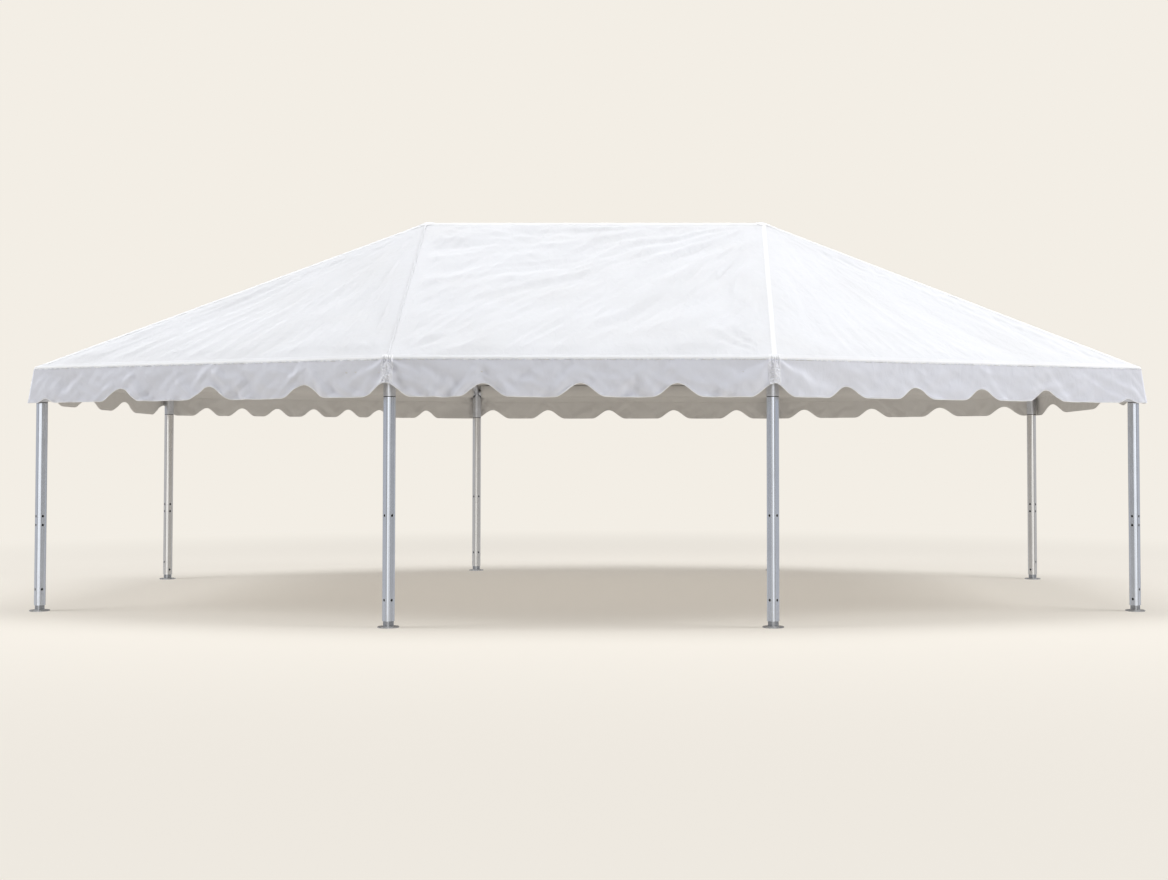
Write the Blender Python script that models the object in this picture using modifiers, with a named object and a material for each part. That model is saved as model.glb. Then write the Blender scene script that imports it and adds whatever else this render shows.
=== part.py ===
"""Eight-legged frame tent: aluminium legs, rails and rafters under a hipped, scallop-edged canopy.

Metres, +Z up. The origin is on the ground at the middle of the plan, +X runs along the ridge, and
-Y is the front. The plan is a long octagon: a straight middle bay with a tapered bay at each end.
"""

import math

import bmesh
import bpy
from mathutils import Matrix, Vector

# Plan, measured to the legs' centre lines
HALF_LENGTH = 4.81
HALF_END_WIDTH = 1.755
HALF_BAY = 1.524
HALF_WIDTH = 3.048
HALF_RIDGE = 1.69
BACK_RIGHT_MID = 2.03

# Canopy, measured on its inner surface
EAVE_HEIGHT = 2.134
ROOF_RISE = 1.561
EAVE_OVERHANG = 0.054
VALANCE_DEPTH = 0.313
VALANCE_FLARE = 0.03
NOTCH_STEPS = 3
MID_NOTCH_DEPTH = 0.108
CLOTH_THICKNESS = 0.008

# Legs: a rounded square tube standing with a corner towards the front
LEG_SIDE = 0.083
LEG_CORNER = 0.022
LEG_WALL = 0.006
LEG_FOOT_REVEAL = 0.042
LEG_TOP = 1.826
LEG_TOP_REVEAL = 0.006
PIN_HOLE_RADIUS = 0.0075
MID_LEG_PINS = 0.886
END_LEG_PINS = (0.832, 0.754)
MID_LEG_LOW_PINS = 0.218
END_LEG_LOW_PINS = 0.192
END_LEG_LOWEST_PINS = 0.107

# Feet: a round plate with a tube that slides up inside the leg
PLATE_RADIUS = 0.086
PLATE_THICKNESS = 0.010
PLATE_RIM = 0.003
FOOT_TUBE_TOP = 0.27
FOOT_TUBE_WALL = 0.005
SPIGOT_LENGTH = 0.14

# Frame tubes and the sleeves that they end in
TUBE_RADIUS = 0.030
SLEEVE_RADIUS = 0.034
SLEEVE_REACH = 0.17
CROWN_DROP = 0.043
CROWN_HUB_RADIUS = 0.045
CROWN_HUB_DEPTH = 0.085

# Gap between pieces that touch
GAP = 0.0003

# Points along a quarter turn on the outer and the inner outlines
OUTER_STEPS = 3
INNER_STEPS = 2

PEAK_HEIGHT = EAVE_HEIGHT + ROOF_RISE
SPIGOT_SIDE = LEG_SIDE - 2 * LEG_WALL - 2 * GAP
SPIGOT_CORNER = LEG_CORNER - LEG_WALL
TURN = math.radians(45)

# Corners of the plan, anticlockwise from above
CORNERS = {
    "front_left_end": (-HALF_LENGTH, -HALF_END_WIDTH),
    "front_left_mid": (-HALF_BAY, -HALF_WIDTH),
    "front_right_mid": (HALF_BAY, -HALF_WIDTH),
    "front_right_end": (HALF_LENGTH, -HALF_END_WIDTH),
    "back_right_end": (HALF_LENGTH, HALF_END_WIDTH),
    "back_right_mid": (BACK_RIGHT_MID, HALF_WIDTH),
    "back_left_mid": (-HALF_BAY, HALF_WIDTH),
    "back_left_end": (-HALF_LENGTH, HALF_END_WIDTH),
}
CORNER_NAMES = list(CORNERS)

# Notches between the hem's scallops. Each side runs from its corner to the next one, and has the
# notches' distances from that corner, their half width and their depth
NOTCHES = {
    "front_left": ((0.99, 1.905, 2.82), 0.22, 0.108),
    "front": ((0.767, 1.534, 2.301), 0.205, 0.108),
    "front_right": ((0.636, 1.273, 1.91, 2.547), 0.18, 0.094),
    "right_end": ((1.05, 2.98), 0.52, 0.1),
    "back_right": ((0.37, 1.1, 1.9, 2.73), 0.212, 0.1),
    "back": ((0.443, 1.2, 1.983, 2.713, 3.38), 0.205, 0.1),
    "back_left": ((0.61, 1.17, 1.53, 1.93, 2.34, 2.73, 3.12), 0.15, 0.088),
    "left_end": ((1.24, 2.22, 3.2), 0.37, 0.1),
}
NOTCHED_CORNERS = ("front_left_mid", "front_right_mid", "back_left_end")
SIDE_NAMES = list(NOTCHES)

# The canopy is laced together from three sections
SECTIONS = {
    "canopy_left_end": ("back_left", "left_end", "front_left"),
    "canopy_middle": ("front", "back"),
    "canopy_right_end": ("front_right", "right_end", "back_right"),
}


def clear_scene():
    """Remove every object, so that the model starts from nothing."""
    for item in list(bpy.data.objects):
        bpy.data.objects.remove(item, do_unlink=True)


def new_collection(name):
    group = bpy.data.collections.new(name)
    bpy.context.scene.collection.children.link(group)
    return group


def new_material(name, color, roughness, metallic):
    material = bpy.data.materials.new(name)
    material.use_nodes = True
    shader = material.node_tree.nodes["Principled BSDF"]
    shader.inputs["Base Color"].default_value = (*color, 1.0)
    shader.inputs["Roughness"].default_value = roughness
    shader.inputs["Metallic"].default_value = metallic
    return material


def mesh_object(name, mesh, collection, material):
    """Put a mesh in the scene as a named object with its own copy of a material."""
    item = bpy.data.objects.new(name, mesh)
    collection.objects.link(item)
    finish = material.copy()
    finish.name = name
    mesh.materials.clear()
    mesh.materials.append(finish)
    return item


def as_cutter(item):
    item.hide_render = True
    item.display_type = "WIRE"
    return item


def combine(item, other, operation):
    """Join another solid to this one, or cut it away."""
    step = item.modifiers.new(operation.lower() + "_" + other.name, "BOOLEAN")
    step.operation = operation
    step.object = other
    step.solver = "EXACT"


def rounded_square(side, corner, steps):
    """Outline of a square with round corners, anticlockwise."""
    inset = side / 2 - corner
    points = []
    for quarter in range(4):
        middle = math.radians(45 + 90 * quarter)
        centre = Vector((math.copysign(inset, math.cos(middle)), math.copysign(inset, math.sin(middle))))
        for step in range(steps + 1):
            angle = math.radians(90 * quarter + 90 * step / steps)
            points.append(centre + corner * Vector((math.cos(angle), math.sin(angle))))
    return points


def extruded(name, outlines, low, high):
    """Mesh of flat outlines drawn up from one height to another; a second outline is a hole."""
    curve = bpy.data.curves.new(name + "_outline", "CURVE")
    curve.dimensions = "2D"
    curve.fill_mode = "BOTH"
    curve.extrude = (high - low) / 2
    for outline in outlines:
        spline = curve.splines.new("POLY")
        spline.points.add(len(outline) - 1)
        spline.use_cyclic_u = True
        for point, place in zip(spline.points, outline):
            point.co = (place.x, place.y, 0, 1)
    return curve_to_mesh(name, curve, Matrix.Translation((0, 0, (low + high) / 2)))


def curve_to_mesh(name, curve, place):
    """Turn a curve into a welded mesh, moved to its place."""
    guide = bpy.data.objects.new(name + "_guide", curve)
    bpy.context.scene.collection.objects.link(guide)
    bpy.context.view_layer.update()
    evaluated = guide.evaluated_get(bpy.context.evaluated_depsgraph_get())
    mesh = bpy.data.meshes.new_from_object(evaluated)
    mesh.name = name
    bpy.data.objects.remove(guide, do_unlink=True)
    bpy.data.curves.remove(curve)
    work = bmesh.new()
    work.from_mesh(mesh)
    bmesh.ops.remove_doubles(work, verts=work.verts, dist=GAP / 10)
    bmesh.ops.transform(work, matrix=place, verts=work.verts)
    work.to_mesh(mesh)
    work.free()
    return mesh


def cylinder_mesh(name, radius, length, sides):
    """Closed cylinder along +Z, standing on the origin."""
    work = bmesh.new()
    bmesh.ops.create_cone(
        work, cap_ends=True, segments=sides, radius1=radius, radius2=radius, depth=length,
        matrix=Matrix.Translation((0, 0, length / 2)),
    )
    mesh = bpy.data.meshes.new(name)
    work.to_mesh(mesh)
    work.free()
    return mesh


def aim(start, direction):
    """Matrix that stands +Z along a direction from a start point."""
    return Matrix.Translation(start) @ direction.to_track_quat("Z", "Y").to_matrix().to_4x4()


def outward(index):
    """Horizontal unit vector pointing out of one side of the plan."""
    start = Vector(CORNERS[CORNER_NAMES[index]])
    end = Vector(CORNERS[CORNER_NAMES[(index + 1) % len(CORNER_NAMES)]])
    run = (end - start).normalized()
    return Vector((run.y, -run.x))


def offset_corner(index, distance):
    """Corner of the plan once every side has moved out by a distance."""
    before = outward(index - 1)
    after = outward(index)
    shift = (before + after) * distance / (1 + before.dot(after))
    return Vector(CORNERS[CORNER_NAMES[index]]) + shift


def shallowest_slope():
    """Angle of the flattest roof side, which the rails are set under."""
    runs = []
    for index in range(len(SIDE_NAMES)):
        corner = Vector(CORNERS[CORNER_NAMES[index]])
        ridge_end = Vector((math.copysign(HALF_RIDGE, corner.x), 0))
        runs.append(abs((corner - ridge_end).dot(outward(index))) + EAVE_OVERHANG)
    return math.atan(ROOF_RISE / max(runs))


def rail_height():
    """Height of the rails' centre line, with their sleeves just under the roof."""
    slope = shallowest_slope()
    return EAVE_HEIGHT + EAVE_OVERHANG * math.tan(slope) - (SLEEVE_RADIUS + GAP) / math.cos(slope)


def eave_node(name):
    return Vector((*CORNERS[name], rail_height()))


def crown_node(sign):
    return Vector((sign * HALF_RIDGE, 0, PEAK_HEIGHT - CROWN_DROP))


def make_sleeve(name, centre, target, collection, material):
    """Socket that points from a joint's centre towards the joint at a tube's other end."""
    direction = (target - centre).normalized()
    mesh = cylinder_mesh(name, SLEEVE_RADIUS, SLEEVE_REACH, 12)
    item = as_cutter(mesh_object(name, mesh, collection, material))
    item.matrix_world = aim(centre, direction)
    return item


def make_tube(name, start, end, collection, material):
    """Straight tube between two joints, ending against their sleeves."""
    direction = (end - start).normalized()
    trim = (SLEEVE_REACH + GAP) * direction
    curve = bpy.data.curves.new(name, "CURVE")
    curve.dimensions = "3D"
    curve.bevel_depth = TUBE_RADIUS
    curve.bevel_resolution = 4
    curve.use_fill_caps = True
    spline = curve.splines.new("POLY")
    spline.points.add(1)
    spline.points[0].co = (*(start + trim), 1)
    spline.points[1].co = (*(end - trim), 1)
    mesh = curve_to_mesh(name, curve, Matrix.Identity(4))
    return mesh_object(name, mesh, collection, material)


def drill(leg, name, place, height, along_x, collection, material):
    """Pin hole straight through a square tube, from one flat side to the other."""
    length = 2 * LEG_SIDE
    mesh = cylinder_mesh(name, PIN_HOLE_RADIUS, length, 8)
    item = as_cutter(mesh_object(name, mesh, collection, material))
    turn = TURN if along_x else TURN + math.pi / 2
    direction = Vector((math.cos(turn), math.sin(turn), 0))
    centre = Vector((place[0], place[1], height))
    item.matrix_world = aim(centre - direction * length / 2, direction)
    combine(leg, item, "DIFFERENCE")


def low_pins(name):
    """Heights of the lower pin holes, through the one pair of flat sides and the other."""
    if name.endswith("mid"):
        return MID_LEG_LOW_PINS, MID_LEG_LOW_PINS
    if name == "front_left_end":
        return END_LEG_LOW_PINS, END_LEG_LOW_PINS
    if name == "back_left_end":
        return END_LEG_LOW_PINS, END_LEG_LOWEST_PINS
    return END_LEG_LOWEST_PINS, END_LEG_LOW_PINS


def make_leg(name, collection, cutters, material):
    """Square tube, open at both ends, with its pin holes."""
    outer = rounded_square(LEG_SIDE, LEG_CORNER, OUTER_STEPS)
    inner = rounded_square(LEG_SIDE - 2 * LEG_WALL, LEG_CORNER - LEG_WALL, INNER_STEPS)
    bottom = PLATE_THICKNESS + LEG_FOOT_REVEAL
    mesh = extruded("leg_" + name, (outer, inner), bottom, LEG_TOP)
    leg = mesh_object("leg_" + name, mesh, collection, material)
    place = CORNERS[name]
    leg.matrix_world = Matrix.Translation((*place, 0)) @ Matrix.Rotation(TURN, 4, "Z")
    rows = (MID_LEG_PINS,) if name.endswith("mid") else END_LEG_PINS
    for row, height in enumerate(rows):
        for along_x in (True, False):
            label = f"pin_{name}_{row}_{along_x}"
            drill(leg, label, place, height, along_x, cutters, material)
    for along_x, height in zip((True, False), low_pins(name)):
        drill(leg, f"low_pin_{name}_{along_x}", place, height, along_x, cutters, material)
    return leg


def plate_mesh(name):
    """Round foot plate with a softly rounded rim, turned from its profile."""
    mesh = bpy.data.meshes.new(name)
    work = bmesh.new()
    profile = [
        (0, PLATE_THICKNESS),
        (PLATE_RADIUS - PLATE_RIM, PLATE_THICKNESS),
        (PLATE_RADIUS, PLATE_THICKNESS - PLATE_RIM),
        (PLATE_RADIUS, PLATE_RIM),
        (PLATE_RADIUS - PLATE_RIM, 0),
        (0, 0),
    ]
    verts = [work.verts.new((radius, 0, height)) for radius, height in profile]
    for upper, lower in zip(verts, verts[1:]):
        work.edges.new((upper, lower))
    work.to_mesh(mesh)
    work.free()
    return mesh


def make_foot(name, collection, cutters, material):
    """Base plate with the inner tube that the leg stands on and is pinned to."""
    foot = mesh_object("foot_" + name, plate_mesh("foot_" + name), collection, material)
    turn = foot.modifiers.new("turn", "SCREW")
    turn.steps = 24
    turn.render_steps = 24
    turn.use_merge_vertices = True
    turn.merge_threshold = GAP / 10
    place = CORNERS[name]
    foot.location = (*place, 0)
    foot.rotation_euler = (0, 0, TURN)
    outer = rounded_square(SPIGOT_SIDE, SPIGOT_CORNER, INNER_STEPS)
    bore = SPIGOT_SIDE - 2 * FOOT_TUBE_WALL
    inner = rounded_square(bore, SPIGOT_CORNER - FOOT_TUBE_WALL, INNER_STEPS)
    mesh = extruded("foot_tube_" + name, (outer, inner), PLATE_THICKNESS / 2, FOOT_TUBE_TOP)
    tube = as_cutter(mesh_object("foot_tube_" + name, mesh, cutters, material))
    tube.matrix_world = Matrix.Translation((*place, 0)) @ Matrix.Rotation(TURN, 4, "Z")
    for along_x, height in zip((True, False), low_pins(name)):
        drill(tube, f"foot_pin_{name}_{along_x}", place, height, along_x, cutters, material)
    combine(foot, tube, "UNION")
    return foot


def make_eave_fitting(index, collection, cutters, material):
    """Leg-top joint: a square post on a spigot, with sockets for two rails and a rafter."""
    name = CORNER_NAMES[index]
    centre = eave_node(name)
    shoulder = LEG_TOP + LEG_TOP_REVEAL
    outline = rounded_square(LEG_SIDE, LEG_CORNER, OUTER_STEPS)
    mesh = extruded("eave_fitting_" + name, (outline,), shoulder, centre.z)
    fitting = mesh_object("eave_fitting_" + name, mesh, collection, material)
    fitting.matrix_world = Matrix.Translation((centre.x, centre.y, 0)) @ Matrix.Rotation(TURN, 4, "Z")
    spigot_outline = rounded_square(SPIGOT_SIDE, SPIGOT_CORNER, INNER_STEPS)
    spigot_mesh = extruded("spigot_" + name, (spigot_outline,), LEG_TOP - SPIGOT_LENGTH, shoulder + GAP)
    spigot = as_cutter(mesh_object("spigot_" + name, spigot_mesh, cutters, material))
    spigot.matrix_world = fitting.matrix_world
    combine(fitting, spigot, "UNION")
    before = eave_node(CORNER_NAMES[index - 1])
    after = eave_node(CORNER_NAMES[(index + 1) % len(CORNER_NAMES)])
    crown = crown_node(math.copysign(1, centre.x))
    for label, target in (("before", before), ("after", after), ("up", crown)):
        socket = make_sleeve(f"socket_{name}_{label}", centre, target, cutters, material)
        combine(fitting, socket, "UNION")
    return fitting


def make_crown_fitting(sign, collection, cutters, material):
    """Ridge-end joint: a short hub with sockets for the ridge, two hips and two rafters."""
    label = "right" if sign > 0 else "left"
    centre = crown_node(sign)
    mesh = cylinder_mesh("crown_fitting_" + label, CROWN_HUB_RADIUS, CROWN_HUB_DEPTH, 16)
    fitting = mesh_object("crown_fitting_" + label, mesh, collection, material)
    fitting.location = (centre.x, centre.y, centre.z - CROWN_HUB_DEPTH)
    targets = {"ridge": crown_node(-sign)}
    for name in CORNER_NAMES:
        if label in name:
            targets[name] = eave_node(name)
    for name, target in targets.items():
        socket = make_sleeve(f"socket_{label}_{name}", centre, target, cutters, material)
        combine(fitting, socket, "UNION")
    return fitting


def side_notches(name, length):
    """Place and depth of each notch along one side, with those that a side shares at a corner."""
    index = SIDE_NAMES.index(name)
    middles, half_width, depth = NOTCHES[name]
    notches = [(middle, depth) for middle in middles]
    if CORNER_NAMES[index] in NOTCHED_CORNERS:
        notches.append((0.0, MID_NOTCH_DEPTH))
    if CORNER_NAMES[(index + 1) % len(CORNER_NAMES)] in NOTCHED_CORNERS:
        notches.append((length, MID_NOTCH_DEPTH))
    return notches, half_width


def hem_profile(name, length):
    """Distances along a side at which the hem needs a point, with its rise there."""
    notches, half_width = side_notches(name, length)
    profile = {0.0: 0.0, length: 0.0}
    for middle, depth in notches:
        for step in range(-NOTCH_STEPS, NOTCH_STEPS + 1):
            along = middle + half_width * step / NOTCH_STEPS
            if 0 <= along <= length:
                profile[along] = depth * (0.5 + 0.5 * math.cos(math.pi * step / NOTCH_STEPS))
    return sorted(profile.items())


def side_points(name):
    """Eave and hem points of one side of the canopy, from its first corner to its second."""
    index = SIDE_NAMES.index(name)
    following = (index + 1) % len(SIDE_NAMES)
    starts = [offset_corner(index, out) for out in (EAVE_OVERHANG, EAVE_OVERHANG + VALANCE_FLARE)]
    ends = [offset_corner(following, out) for out in (EAVE_OVERHANG, EAVE_OVERHANG + VALANCE_FLARE)]
    length = (ends[0] - starts[0]).length
    eave = []
    hem = []
    for along, rise in hem_profile(name, length):
        share = along / length
        top = starts[0].lerp(ends[0], share)
        full = starts[1].lerp(ends[1], share)
        bottom = full.lerp(top, rise / VALANCE_DEPTH)
        eave.append(Vector((*top, EAVE_HEIGHT)))
        hem.append(Vector((*bottom, EAVE_HEIGHT - VALANCE_DEPTH + rise)))
    return eave, hem


def ridge_points(name):
    """Ridge points that close one roof side, after its eave points."""
    left = Vector((-HALF_RIDGE, 0, PEAK_HEIGHT))
    right = Vector((HALF_RIDGE, 0, PEAK_HEIGHT))
    if name == "front":
        return [right, left]
    if name == "back":
        return [left, right]
    return [left] if "left" in name else [right]


def make_canopy_section(name, sides, collection, material):
    """Roof and valance of one laced section, as a sheet with a thickness."""
    work = bmesh.new()
    for side in sides:
        eave, hem = side_points(side)
        tops = [work.verts.new(point) for point in eave]
        bottoms = [work.verts.new(point) for point in hem]
        ridge = [work.verts.new(point) for point in ridge_points(side)]
        work.faces.new(tops + ridge)
        for step in range(len(tops) - 1):
            work.faces.new((tops[step], bottoms[step], bottoms[step + 1], tops[step + 1]))
    bmesh.ops.remove_doubles(work, verts=work.verts, dist=GAP / 10)
    if name == "canopy_middle":
        for vert in work.verts:
            if abs(vert.co.x) > HALF_BAY:
                vert.co.x -= math.copysign(GAP, vert.co.x)
    mesh = bpy.data.meshes.new(name)
    work.to_mesh(mesh)
    work.free()
    section = mesh_object(name, mesh, collection, material)
    shell = section.modifiers.new("thickness", "SOLIDIFY")
    shell.thickness = CLOTH_THICKNESS
    shell.offset = 1
    shell.use_even_offset = True
    return section


def build():
    clear_scene()
    parts = new_collection("marquee_tent")
    cutters = new_collection("cutters")
    cloth = new_material("canopy_cloth", (0.88, 0.88, 0.90), 0.42, 0.0)
    leg_metal = new_material("leg_metal", (0.55, 0.56, 0.60), 0.32, 1.0)
    frame_metal = new_material("frame_metal", (0.60, 0.61, 0.63), 0.38, 1.0)
    foot_metal = new_material("foot_metal", (0.42, 0.43, 0.46), 0.40, 1.0)
    for index, name in enumerate(CORNER_NAMES):
        make_leg(name, parts, cutters, leg_metal)
        make_foot(name, parts, cutters, foot_metal)
        make_eave_fitting(index, parts, cutters, leg_metal)
        following = CORNER_NAMES[(index + 1) % len(CORNER_NAMES)]
        make_tube("eave_rail_" + SIDE_NAMES[index], eave_node(name), eave_node(following), parts, frame_metal)
        crown = crown_node(math.copysign(1, CORNERS[name][0]))
        kind = "rafter_" if name.endswith("mid") else "hip_rafter_"
        make_tube(kind + name.rsplit("_", 1)[0], eave_node(name), crown, parts, frame_metal)
    make_tube("ridge_tube", crown_node(-1), crown_node(1), parts, frame_metal)
    for sign in (-1, 1):
        make_crown_fitting(sign, parts, cutters, frame_metal)
    for name, sides in SECTIONS.items():
        make_canopy_section(name, sides, parts, cloth)


build()
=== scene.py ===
"""Frame marquee tent, dressed for its picture.

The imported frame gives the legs, feet, rails, rafters and joints. This script makes the coated cloth
with its seams, hems and gathers, the finish of the aluminium, and the small fasteners.
Metres, +Z up. +X runs along the ridge and -Y is the front.
"""

import math

import bmesh
import bpy
import numpy as np
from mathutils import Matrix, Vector


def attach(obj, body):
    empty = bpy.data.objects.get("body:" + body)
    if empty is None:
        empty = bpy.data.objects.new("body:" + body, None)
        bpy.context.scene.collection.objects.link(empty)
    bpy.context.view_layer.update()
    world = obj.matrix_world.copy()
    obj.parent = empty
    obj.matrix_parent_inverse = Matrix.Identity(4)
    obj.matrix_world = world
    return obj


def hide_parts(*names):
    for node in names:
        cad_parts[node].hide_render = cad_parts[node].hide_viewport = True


# Plan and heights of the frame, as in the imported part
HALF_LENGTH = 4.81
HALF_END_WIDTH = 1.755
HALF_BAY = 1.524
HALF_WIDTH = 3.048
HALF_RIDGE = 1.69
BACK_RIGHT_MID = 2.03
EAVE_HEIGHT = 2.134
PEAK_HEIGHT = 3.695
EAVE_OVERHANG = 0.054
VALANCE_DEPTH = 0.313
VALANCE_FLARE = 0.03
MID_NOTCH_DEPTH = 0.108
LEG_SIDE = 0.083
MID_PIN_ROWS = (0.886,)
END_PIN_ROWS = (0.832, 0.754)
LOW_PINS = {
    "mid": (0.218, 0.218),
    "front_left_end": (0.192, 0.192),
    "back_left_end": (0.192, 0.107),
    "front_right_end": (0.107, 0.192),
    "back_right_end": (0.107, 0.192),
}
LEG_TOP = 1.8262
SEAL_HEIGHT = 0.0056
SEAL_SIDE = LEG_SIDE - 0.0016
SEAL_CORNER = 0.0215
SEAL_WALL = 0.0045
FOOT_TUBE_SIDE = 0.0706
FOOT_TUBE_CORNER = 0.016
PLATE_THICKNESS = 0.010
WELD_HEIGHT = 0.0006
SLEEVE_RADIUS = 0.034
SLEEVE_GAP = 0.0003
SLEEVE_REACH = 0.17
BOLT_SHARE = 0.80
CROWN_DROP = 0.043

CORNERS = np.array(
    [
        (-HALF_LENGTH, -HALF_END_WIDTH),
        (-HALF_BAY, -HALF_WIDTH),
        (HALF_BAY, -HALF_WIDTH),
        (HALF_LENGTH, -HALF_END_WIDTH),
        (HALF_LENGTH, HALF_END_WIDTH),
        (BACK_RIGHT_MID, HALF_WIDTH),
        (-HALF_BAY, HALF_WIDTH),
        (-HALF_LENGTH, HALF_END_WIDTH),
    ]
)
CORNER_NAMES = (
    "front_left_end",
    "front_left_mid",
    "front_right_mid",
    "front_right_end",
    "back_right_end",
    "back_right_mid",
    "back_left_mid",
    "back_left_end",
)
SIDES = (
    "front_left",
    "front",
    "front_right",
    "right_end",
    "back_right",
    "back",
    "back_left",
    "left_end",
)
MIDDLE_SIDES = (1, 5)
MID_CORNERS = (1, 2, 5, 6)
END_CORNERS = (0, 3, 4, 7)
SECTION_SIDES = {"left_end": (6, 7, 0), "middle": (1, 5), "right_end": (2, 3, 4)}

# Notches in the hem along each side: middles from the side's first corner, half width, depth
NOTCHES = (
    ((0.99, 1.905, 2.82), 0.22, 0.108),
    ((0.767, 1.534, 2.301), 0.205, 0.108),
    ((0.636, 1.273, 1.91, 2.547), 0.18, 0.094),
    ((1.05, 2.98), 0.52, 0.1),
    ((0.37, 1.1, 1.9, 2.73), 0.212, 0.1),
    ((0.443, 1.2, 1.983, 2.713, 3.38), 0.205, 0.1),
    ((0.61, 1.17, 1.53, 1.93, 2.34, 2.73, 3.12), 0.15, 0.088),
    ((1.24, 2.22, 3.2), 0.37, 0.1),
)
# Corners that a notch meets, and corners with a flap inside and a small notch on either side
NOTCHED_CORNERS = (1, 2, 7)
FLAP_CORNERS = (0, 3)
# Small notch beside a flap corner: distance from the corner, half width, height
END_NOTCH = (0.19, 0.10, 0.034)
# Shallow rise of the hem ahead of the right end's first notch: middle, half width, height
RIGHT_END_RISE = (0.36, 0.30, 0.045)
# How strongly each side's valance is folded
FOLD_SHARES = (1.1, 1.1, 0.6, 0.22, 0.7, 0.7, 0.7, 0.22)

# A place inside the tent, which every sheet faces away from
INSIDE = (0, 0, 1.5)

# Cloth thickness, and how far the cloth's outer face lies off the frame
CLOTH_THICKNESS = 0.0012
SKIN = 0.005

# How far apart the facets lie on the map of the flat cloth
FLAT_APART = 12.0

# Steps of the cloth meshes, and the lines where they start, turn and end
ROOF_ROWS = 96
MIDDLE_COLUMNS = 168
ROOF_EDGE = 0.016
JOIN_WITHIN = 0.0002
BAND_TOP = 0.055
BAND_BOTTOM = 0.016
FOLD_IN = 0.013
FOLD_OUT = 0.018
VALANCE_STEP = 0.0155
BODY_ROWS = 15
HEM_SAMPLES = 1600
HEM_DEPTH = 0.017

# Doubled bands over the seams: half widths on each hip, by corner, and on the ridge. The doubled cloth is
# whiter, partly a painted highlight on the bands that catch the light; the hips that face away from it have
# the roof's own cloth instead
HIP_BANDS = (0.05, 0.011, 0.022, 0.05, 0.05, 0.022, 0.011, 0.05)
BANDS_WITHOUT_HIGHLIGHT = (1, 6)
RIDGE_BAND = 0.075
NARROW_BAND = 0.06
BAND_COLUMNS = 15
BAND_ROUNDING = 0.008
BAND_LIFT = 0.0009
BAND_TURN = 0.024
BAND_ARCH = 0.0010
BAND_PUCKER = 0.0016
BAND_THICKNESS = 0.0011
# Narrow bands rise over the crown patch: by how much, how far from the top, and over what length
CROWN_STEP = (0.0012, 0.20, 0.08)
STITCH_LIFT = 0.0006

# Round patch over a ridge end: radius, height at its middle, and how much it drops and ripples to its rim
CROWN_PATCH = 0.085
PATCH_LIFT = 0.0075
PATCH_DROP = 0.0032
PATCH_RIPPLE = 0.0011
# How sharply the facets meet under the patch
CREASE_SHARPNESS = 700.0

# Strip over the lacing, and the pocket round a rail
GATHER_HALF_WIDTH = 0.052
GATHER_COLUMNS = 37
GATHER_ROWS = 60
GATHER_TOP = 0.052
GATHER_LIFT = 0.0026
PLEAT_HEIGHT = 0.0100
PLEAT_PITCH = 0.0190
RUNG_HEIGHT = 0.0060
RUNG_PITCH = 0.025
RUNG_PLACE = 0.021
LUMP_HEIGHT = 0.0062
MIDDLE_GROOVE = 0.0032
SIDE_GROOVE = 0.0016
POCKET_START = 0.054
POCKET_RADIUS = 0.0345
POCKET_COLUMNS = 84
# Where the pocket leaves the roof, inwards of the frame's plan, and the angles it wraps the rail through
POCKET_EDGE = 0.098
POCKET_WRAP = (195, 322)
# Swelling of the pocket over the joints: by how much, how far from the leg, over what length
POCKET_SWELL = (0.016, 0.235, 0.04)
POCKET_RIPPLE = 0.0022
# Rows where the pocket meets the valance: depth below the eave, and how far in from its face
POCKET_JOIN = ((0.078, -0.0085), (0.098, -0.0045), (0.122, -0.0028))

# Flap behind a corner: depths of its top and bottom, reach each way, and how far in it hangs
FLAP_TOP = 0.20
FLAP_BOTTOM = 0.301
FLAP_REACH = 0.27
FLAP_INSET = 0.0045

# Shape of the hanging valance, as heights off the plain sheet
BROAD_FOLD = 0.0165
FINE_FOLD = 0.0050
BILLOW = 0.013
SMALL_FOLD = 0.0022
SEAM_PUCKER = 0.0042
LACING_FAN = 0.21
LACING_SWELL = 0.006
FLAP_FLARE = 0.014
FLAP_WAVE = 0.0035
NOTCH_PULL = 0.0060
NOTCH_FLANKS = (0.006, 0.003)
NOTCH_HOLLOW = 0.004
LAP_LIFT = 0.0020
LAP_RUFFLE = 0.0012
DOUBLED_STEP = 0.0003
HEM_STEP = 0.0016
HEM_ROUNDING = 0.0008
# Diagonal creases: how they lean and drift, how many to a metre, seed
BROAD_CREASES = ((-1.5, 0.25, 3.8, 73), (1.3, -0.25, 4.2, 72))
FINE_CREASES = ((-1.0, 7.5, 79), (0.9, 8.5, 78))
# Length over which the last side's folds run into the first side's
CLOSING = 0.6


def smooth_step(values):
    """Rise from 0 to 1 with level ends."""
    share = np.clip(values, 0, 1)
    return share * share * (3 - 2 * share)


def ramp(values, start, length):
    """Rise from 0 at a start to 1 a length further on."""
    return smooth_step((values - start) / length)


def bell(values, width):
    """Hump of height 1 round zero."""
    return np.exp(-((values / width) ** 2))


def unit(vector):
    return vector / np.linalg.norm(vector)


def units(vectors):
    return vectors / np.linalg.norm(vectors, axis=-1)[..., None]


def mix(first, second, share):
    return first + (second - first) * share


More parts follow.
